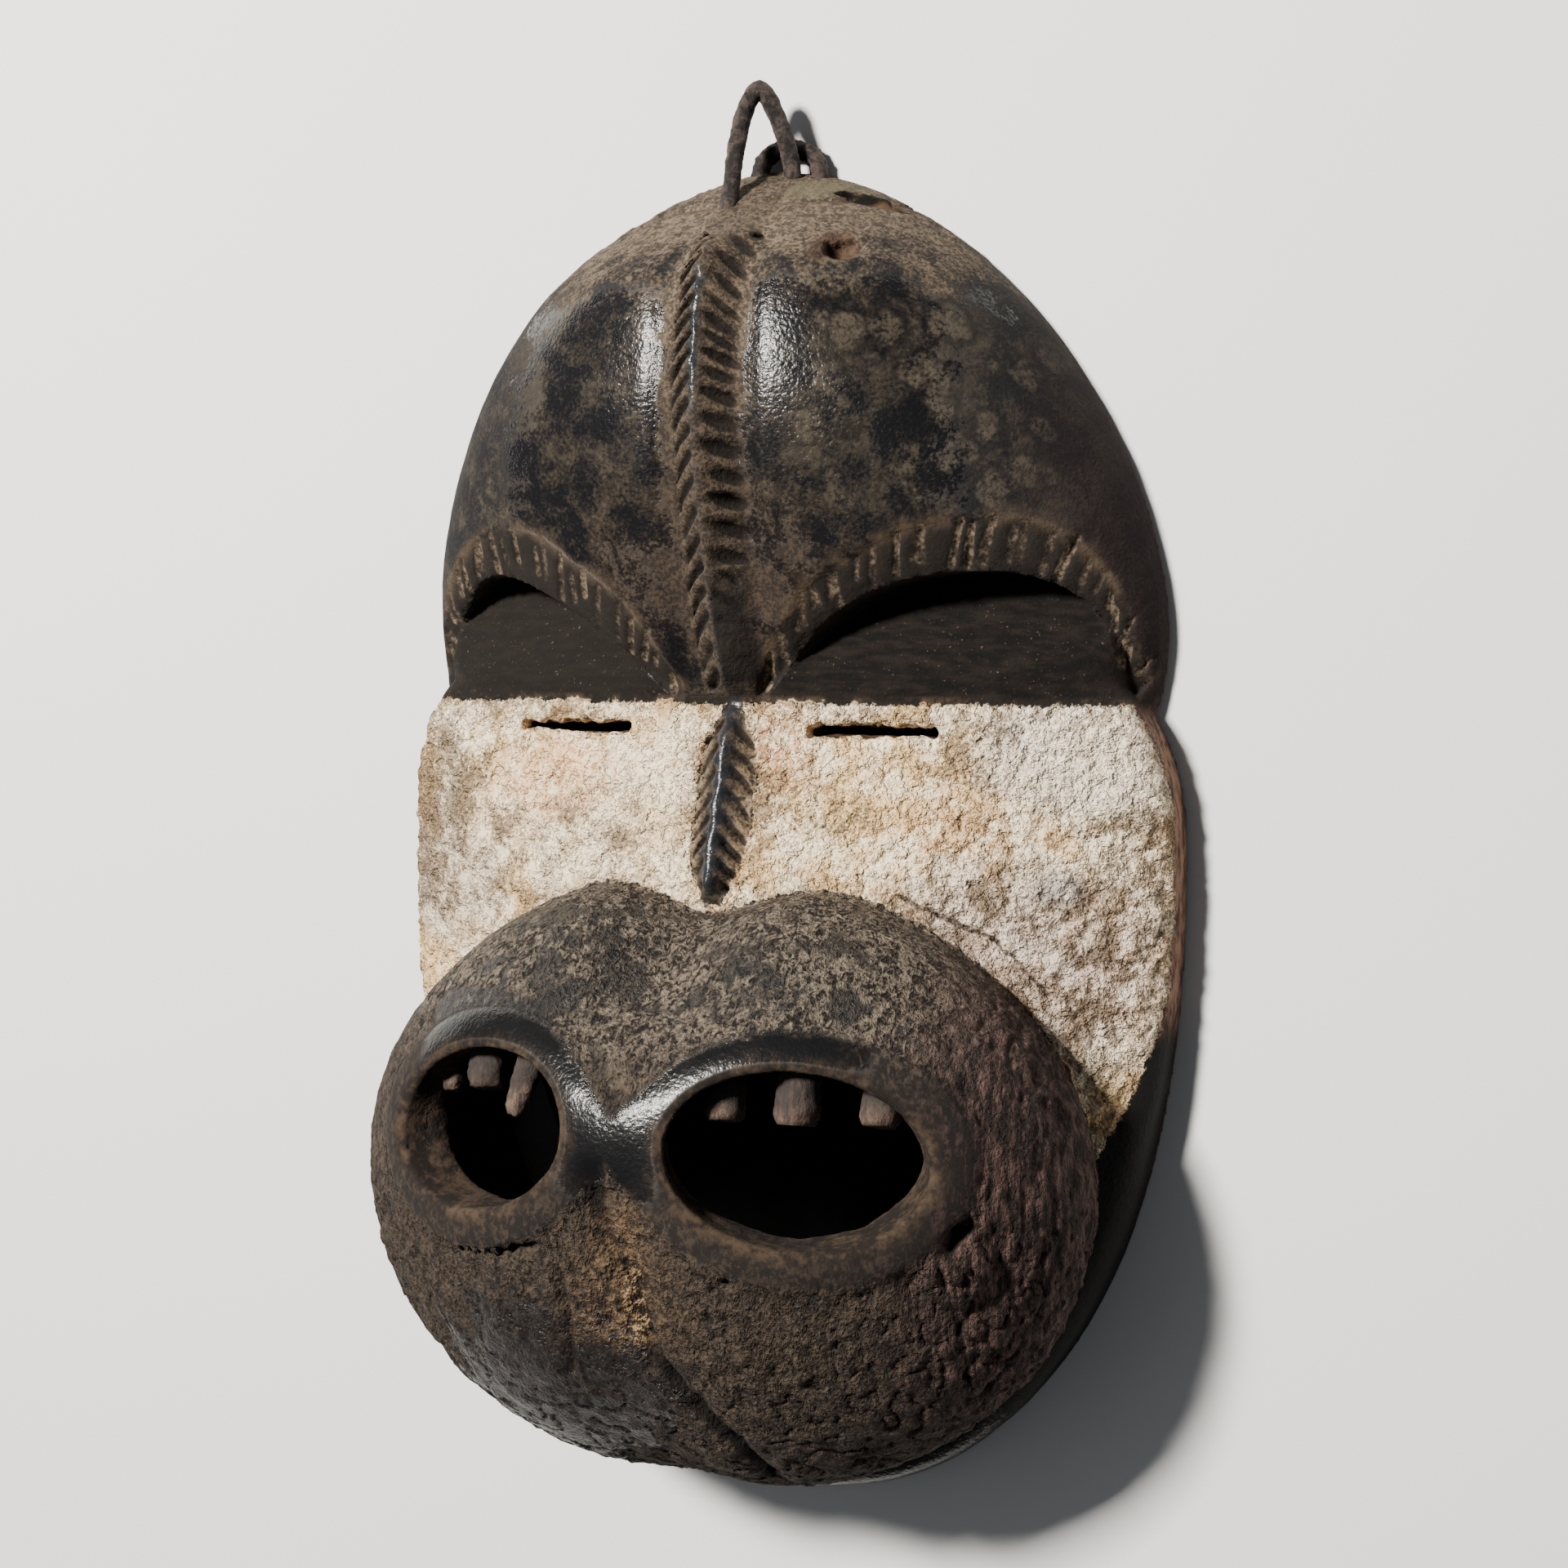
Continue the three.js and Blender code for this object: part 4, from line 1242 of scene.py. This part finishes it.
# %% Dust on the forehead
dust = (dusty * 0.8 + (mottle - 0.5) * 1.7 + (speckle - 0.5) * 0.6).step(0.2, 0.9)
dust = dust * dusty.step(0.02, 0.35) * (1 - crest) * front
low_tan, high_tan = grain.mix((34, 28, 23), (58, 48, 38)), grain.mix((58, 50, 41), (104, 91, 75))
coat = coat.under(
    (dust * 0.85, up.step(84, 136).mix(low_tan, high_tan)),
    (spot(13, 158.5, 14, 4) * 0.6, (78, 75, 56)),
    (spot(26.5, 141, 6.5, 5.5) * 0.9, grit.step(0.4, 0.62).mix((44, 31, 24), (74, 58, 46))),
)

# %% [markdown]
# Brow bands and lids are almost black. The knife strokes hold pale dust, and a thin worn
# line follows each band's upper edge. The ridge's notches are painted dark between dusty
# barbs as shade in the cuts, the forehead ridge's right flank is painted darker low down as
# its shade, and the crest is polished blue-black by hands. The left lid is painted lighter
# than the right, partly its own tone and partly painted light.

# %% Brows, lids and ridges
lid_grain = blotches(place, 2.0, 3, 0.6, 0.0, (0.22, 1.0, 1.0))
# The left lid is lighter than the right: partly its own tone, partly painted light.
lid_skin = lid_grain.step(0.38, 0.68).mix((6, 5, 4), (23, 18, 14)).under((across.fall(-30, -12) * 0.5, (24, 21, 17)))
seam = (up - 36).size().fall(0.6, 2.2) * front
ridge_side = out_from_ridge.fall(6.8, 8.4) * front * (up.step(36, 40) + up.fall(32, 35) * up.step(-12, -8))
# The forehead ridge's right flank is painted darker low down: painted shade, where the ridge shades it.
painted_flank_shade = up.fall(60, 70) * up.step(38, 42) * across.step(0, 1)
nose_dust = up.fall(32, 36) * out_from_ridge.step(2.2, 6.5) * (grit * 0.6 + speckle * 0.5).step(0.38, 0.62)
barb = grain.mix((40, 34, 28), (78, 67, 54)).under((painted_flank_shade, (25, 22, 20)), (nose_dust * 0.8, (150, 130, 104)))
coat = coat.under(
    (band.step(0.3, 1.0) * 0.85, (26, 22, 19)),
    (worn * patches.step(0.42, 0.6) * 0.5, (88, 75, 60)),
    (hatch.step(0.1, 0.6) * (patches * 0.6 + grit * 0.5).step(0.38, 0.64), grain.mix((46, 39, 32), (96, 84, 69))),
    (lid, lid_skin),
    (lid * speckle.step(0.66, 0.74) * 0.5, (96, 84, 70)),
    (seam * 0.7, (grit * 0.4 + patches * 0.6).step(0.46, 0.62).mix((22, 18, 15), (66, 54, 42))),
    (ridge_side * 0.75, barb),
    # Notches darker the deeper the cut: painted shade in the cuts.
    (notch.step(0.3, 1.3) * 0.85, (17, 14, 12)),
    (crest, (30, 34, 39)),
    # Cracks and creases painted near black by their depth: painted shade in them.
    (crack.step(0.4, 1.2) * (1 - on_muzzle), (14, 11, 9)),
)

# %% [markdown]
# Muzzle: a grey-brown crust of short fibres over black, redder and grained on its right
# side, lumpy and cracked below the lips, and worn dark and smooth low on the left. Its raw
# streak is bare brown wood. The lips and the strip between them are polished black. On the
# upper lobes the crust is painted lighter, partly its own colour and partly painted light,
# with pale grains as painted highlights. Its cracks are painted dark as shade, and the
# openings' inner walls are painted darker as shade.

# %% Crusted muzzle
fibres = blotches(place, 1.7, 3, 0.68, 0.9, (1.0, 0.6, 0.8))
red_grain = blotches(place, 1.7, 3, 0.65, 0.0, (1.3, 0.22, 0.6))
flecks = (fibres * 0.8 + speckle * 0.35 + mottle * 0.3 - 0.12).step(0.50, 0.74)
# Upper lobes: the crust is painted lighter here, partly its own colour and partly painted light.
upper_lobes = up.step(-52, -28)
bald = mottle + (speckle - 0.5) * 0.3 + spot(-22, -22, 26, 16) * 0.08 + spot(18, -22, 22, 14) * 0.05
bald = bald.step(0.52, 0.62) * up.step(-60, -30)
worn_dark = (spot(-22, -117, 46, 34) + (mottle - 0.5) * 2.6 + (speckle - 0.5) * 0.6).step(0.35, 0.75)
worn_dark = worn_dark.most(spot(-42, -36, 26, 9).step(0.1, 0.6))
cracked = (blotches(place, 6, 3, 0.6, 0.8) - 0.5).size().fall(0.0, 0.016)
near_clay = muzzle_edge.fall(1.0, 6.0) * speckle.step(0.58, 0.68)
crust = flecks.mix((34, 30, 27), upper_lobes.mix((68, 58, 48), (112, 102, 89))).under(
    ((speckle * 0.5 + fibres * 0.5).fall(0.40, 0.46) * 0.85, (15, 13, 12)),
    # Pale grains on the upper lobes: painted highlights.
    ((speckle * 0.6 + grit * 0.4).step(0.60, 0.66) * upper_lobes * 0.5, (150, 138, 120)),
    (bald * 0.85, (20, 21, 22)),
    (up.fall(-92, -70) * patches.step(0.38, 0.58) * 0.7, grain.mix((32, 27, 22), (68, 58, 47))),
    (across.step(50, 76) * 0.85, red_grain.step(0.42, 0.66).mix((27, 20, 19), (84, 64, 59))),
    (worn_dark * (1 - flecks * 0.35), (23, 22, 22)),
    # Crack lines and creases painted dark: painted shade in them.
    (cracked * (0.3 + up.fall(-96, -74) * 0.7) * 0.9, (15, 12, 10)),
    (crack.step(0.7, 1.7) * 0.9, (12, 10, 8)),
    (raw * grit.step(0.3, 0.55) * 0.8, grain.mix((58, 44, 34), (104, 84, 62))),
    (spot(3, -94, 3.2, 12) * (grit * 0.6 + speckle * 0.4).step(0.48, 0.58) * 0.9, (152, 126, 94)),
    (near_clay * up.step(-70, -40) * 0.6, (160, 138, 110)),
)
polished = (up.step(-74, -62) * across.fall(44, 62) * across.step(-66, -52)).most(spot(0, -62, 22, 14))
handled = lip * (1 - (1 - polished) * (fibres * 0.7 + grit * 0.5).step(0.52, 0.68) * 0.45)
coat = coat.under(
    (on_muzzle, crust),
    (handled, polished.mix((25, 22, 20), (15, 15, 16))),
    # The openings' inner walls are painted darker than the bare back: painted shade inside the openings.
    (throat, (grit * 0.5 + patches * 0.5).step(0.42, 0.62).mix((24, 19, 16), (60, 49, 38))),
)

# %% [markdown]
# Clay: white paint mixed thick, gone cream, yellow and pink with age, flaking, with brown
# dirt in every hollow. The upper right is cleanest. Its border is frayed by grains.

# %% White clay
stain = blotches(place, 13, 4, 0.65)
flakes = blotches(place, 3.2, 4, 0.66)
dirt = blotches(place, 6.5, 4, 0.7)
frayed = clay_edge + (grit - 0.5) * 3.4 + (speckle - 0.5) * 2.2 + (patches - 0.5) * across.fall(10, 60) * 3.0
on_clay = frayed.step(-0.25, 0.35)
clean = (spot(86, 26, 34, 22) + (stain - 0.5) * 1.2 + (grit - 0.5) * 0.6).step(0.1, 0.7)
dirty = spot(-98, 8, 24, 46) * 0.09 + spot(0, 12, 17, 34) * 0.07 + spot(60, -22, 56, 30) * 0.03
dirty = dirty - spot(84, 25, 28, 19) * 0.1
grime = (dirt * 0.5 + speckle * 0.35 + broad * 0.4 + dirty).step(0.63, 0.74)
pits = (speckle * 0.5 + flakes * 0.5).fall(0.41, 0.47) * (dirt * 0.6 + broad * 0.4 + dirty).step(0.42, 0.58)
flaked = (blotches(place, 5.2, 3, 0.62, 1.0) - 0.5).size().fall(0.0, 0.013)
eye_dirt = spot(34.6, 31.6, 20, 3.6).most(spot(-45, 31.6, 21, 3.6))
near_edge = clay_edge.fall(0.4, 7.5) * (grit * 0.6 + speckle * 0.4).step(0.42, 0.6)
clay = stain.step(0.42, 0.6).mix((255, 236, 202), (226, 190, 138)).under(
    (spot(70, -24, 46, 30) * 0.75, dirt.step(0.4, 0.6).mix((212, 194, 184), (186, 166, 150))),
    (spot(-84, -12, 26, 22) * 0.6, (196, 186, 170)),
    (spot(-44, 8, 52, 22) * 0.55, (255, 240, 206)),
    (spot(-50, 17, 26, 14) * grit.step(0.34, 0.6) * 0.75, (240, 178, 124)),
    (spot(34, 8, 22, 14) * (stain * 0.5 + grit * 0.5).step(0.38, 0.56) * 0.6, (236, 200, 138)),
    (spot(12, 25, 12, 14) * grit.step(0.38, 0.6) * 0.8, (212, 152, 104)),
    (spot(58, 6, 30, 12) * stain.step(0.42, 0.6) * 0.6, (222, 174, 126)),
    (clean * 0.85, grit.step(0.45, 0.6).mix((246, 234, 212), (220, 206, 184))),
    (spot(79, -6, 8, 6) * dirt.step(0.35, 0.55) * 0.7, (132, 140, 146)),
    (grime * 0.8, (104, 88, 70)),
    (pits * 0.85, (66, 53, 41)),
    (flaked * dirt.step(0.4, 0.56) * 0.75, (94, 76, 58)),
    (eye_dirt * grit.step(0.35, 0.6) * 0.75, (112, 86, 62)),
    # Cracks in the clay painted dark brown: painted shade in them.
    (crack.step(0.3, 0.9) * 0.85, (46, 36, 28)),
    (near_edge * 0.7, (116, 94, 72)),
)

# %% [markdown]
# The rim's side, below the clay's edge, is reddish brown and turns black and glossy low
# down: partly its own black polish, partly painted shade below the muzzle. The back is bare cut wood.

# %% Rim, back and the finished colour
flank = across.step(90, 96) * (1 - on_muzzle) * front * up.fall(30, 38)
# Low on the rim: black, partly its own polish and partly painted shade below the muzzle.
black_rim = up.fall(-44, -32) * (1 - on_muzzle) * front
bare = 1 - front.most(throat)
coat = coat.under(
    (flank, red_grain.step(0.35, 0.65).mix((66, 48, 41), (132, 102, 84))),
    (black_rim, (15, 14, 14)),
    (on_clay, clay),
    (bare, grit.mix((52, 40, 31), (84, 64, 47))),
)

# %% [markdown]
# Shine lies where hands reach: the forehead's middle, the lips, the crests and the smooth
# parts of the muzzle. Dust, crust and clay have none. Fine relief follows stored zones and
# breaks the shine into sparks, as wood pores do. It keeps to few nodes, because a renderer
# works out a relief's height three times at every point.

# %% Shine and fine relief
shine = (out_from_ridge + (mottle - 0.5) * 50 + (speckle - 0.5) * 30).fall(36, 70) * up.fall(124, 142)
for matte in (dust, on_muzzle, lid, band.step(0.2, 1.0), hatch.step(0.1, 0.5), seam, ridge_side):
    shine = shine * (1 - matte)
shine = shine.most(handled * polished).most(crest).most(on_muzzle * (1 - lip) * worn_dark.most(bald) * 0.5)
shine = (shine.most(black_rim * 0.32) * (1 - on_clay) * (1 - bare) * (1 - throat)).step(0.2, 0.6)
rough = 0.95 - shine * 0.71 + (speckle - 0.5) * shine * 0.12

glint = blotches(place, 1.1, 1.5, 0.5)
clay_relief = (flakes - 0.5) * 4.2 + flakes.step(0.47, 0.53) * 0.7 + (grit - 0.5) * 1.2 + (speckle - 0.5) * 0.5 + 0.3
height = ((speckle - 0.5) * 0.3 + (grit - 0.5) * 0.2) * (1 - smooth * 0.88)
height = height + smooth * ((glint - 0.5) * (0.16 - lip * 0.06) + (speckle - 0.5) * 0.06)
height = height + crusted * ((fibres - 0.5) * 1.9 + (speckle - 0.5) * 0.6) + raw * (grit - 0.5) * 2.0
height = height + (clay_edge + (grit - 0.5) * 3.4).step(-0.25, 0.35) * clay_relief
fill(wood, {"Base Color": coat, "Roughness": rough, "Normal": bumped(height), "Specular IOR Level": 0.2})
carved_mask.data.materials.append(mask_look)
print("mask material:", len(mask_look.node_tree.nodes), "nodes")

# %% [markdown]
# Iron rusts in layers: a dark skin, with brown rust over most of it and paler in the pits.

# %% Iron material
iron_look, iron, place = new_material("rusted_iron")
rust, pits = blotches(place, 3.0, 6, 0.65, 0.4), blotches(place, 0.8, 5, 0.7)
skin = rust.step(0.38, 0.62).mix((20, 17, 16), (52, 40, 34))
skin = skin.under(((rust * 0.5 + pits * 0.5).step(0.54, 0.66) * 0.6, (92, 66, 52)))
fill(iron, {
    "Base Color": skin, "Roughness": 0.55 + rust * 0.35, "Metallic": rust.fall(0.4, 0.6) * 0.5,
    "Normal": bumped((pits - 0.5) * 0.5 + (rust - 0.5) * 0.4),
})
for hoop in (tall_hoop, bent_hoop):
    hoop.data.materials.append(iron_look)

# %% [markdown]
# The pegs are raw wood, dirty and reddish brown. Their roots are painted darker: painted shade under the lips.

# %% Peg material
peg_look, peg_wood, place = new_material("peg_wood")
fibre, dirt = blotches(place, 1.8, 5, 0.7, 0.3, (1.0, 0.3, 1.0)), blotches(place, 2.6, 4, 0.6)
peg_up = place.node("ShaderNodeSeparateXYZ", {}, {0: place}, out=1)
tone = fibre.step(0.35, 0.7).mix((46, 35, 29), (100, 80, 67)).under(
    (dirt.step(0.5, 0.68) * 0.6, (40, 30, 26)),
    # Roots painted darker: painted shade under the lip.
    (peg_up.step(-52.5 - MIDDLE_Y, -48.5 - MIDDLE_Y) * 0.8, (20, 15, 13)),
)
fill(peg_wood, {"Base Color": tone, "Roughness": 0.85, "Normal": bumped((fibre - 0.5) * 0.8 + (dirt - 0.5) * 0.4)})
for peg in pegs.values():
    peg.data.materials.append(peg_look)

# %% [markdown]
# Floor and shade sheet: a pale, even floor with the faintest mottling, and a black sheet of painted shade under the
# hollow.

# %% Stage materials
floor_look, floor_paint, place = new_material("pale_floor")
fill(floor_paint, {"Base Color": blotches(place, 240, 2).mix((218, 218, 216), (223, 223, 222)), "Roughness": 0.8})
floor.data.materials.append(floor_look)
# A black sheet of painted shade under the hollow.
shade_sheet_look, shade_sheet_paint, place = new_material("black_shade_sheet")
nap = bumped(blotches(place, 1.2, 3) * 0.3)
fill(shade_sheet_paint, {"Base Color": rgb(4, 4, 4), "Roughness": 0.98, "Specular IOR Level": 0.0, "Normal": nap})
shade_sheet.data.materials.append(shade_sheet_look)

# %% [markdown]
# Every piece rides on the one body and stands for its imported solid, which is hidden.

# %% Put the pieces on the body in place of the solids
pairs = [
    (carved_mask, "mask_body", "blackened_wood"),
    (tall_hoop, "hanging_hoop", "rusted_iron"),
    (bent_hoop, "low_hoop", "rusted_iron"),
    *((peg, "tooth_" + name, "tooth_wood") for name, peg in pegs.items()),
]
for piece, node, slot in pairs:
    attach(piece, "root")
    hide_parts(node)

dressed_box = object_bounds()
boxes = {"cad": [list(map(float, c)) for c in cad_box], "visual": [list(map(float, c)) for c in dressed_box]}
for name, (low, high) in boxes.items():
    print(name, "box, mm:", [round(1000 * v, 1) for v in low + high])
tell("whole mask dressed")
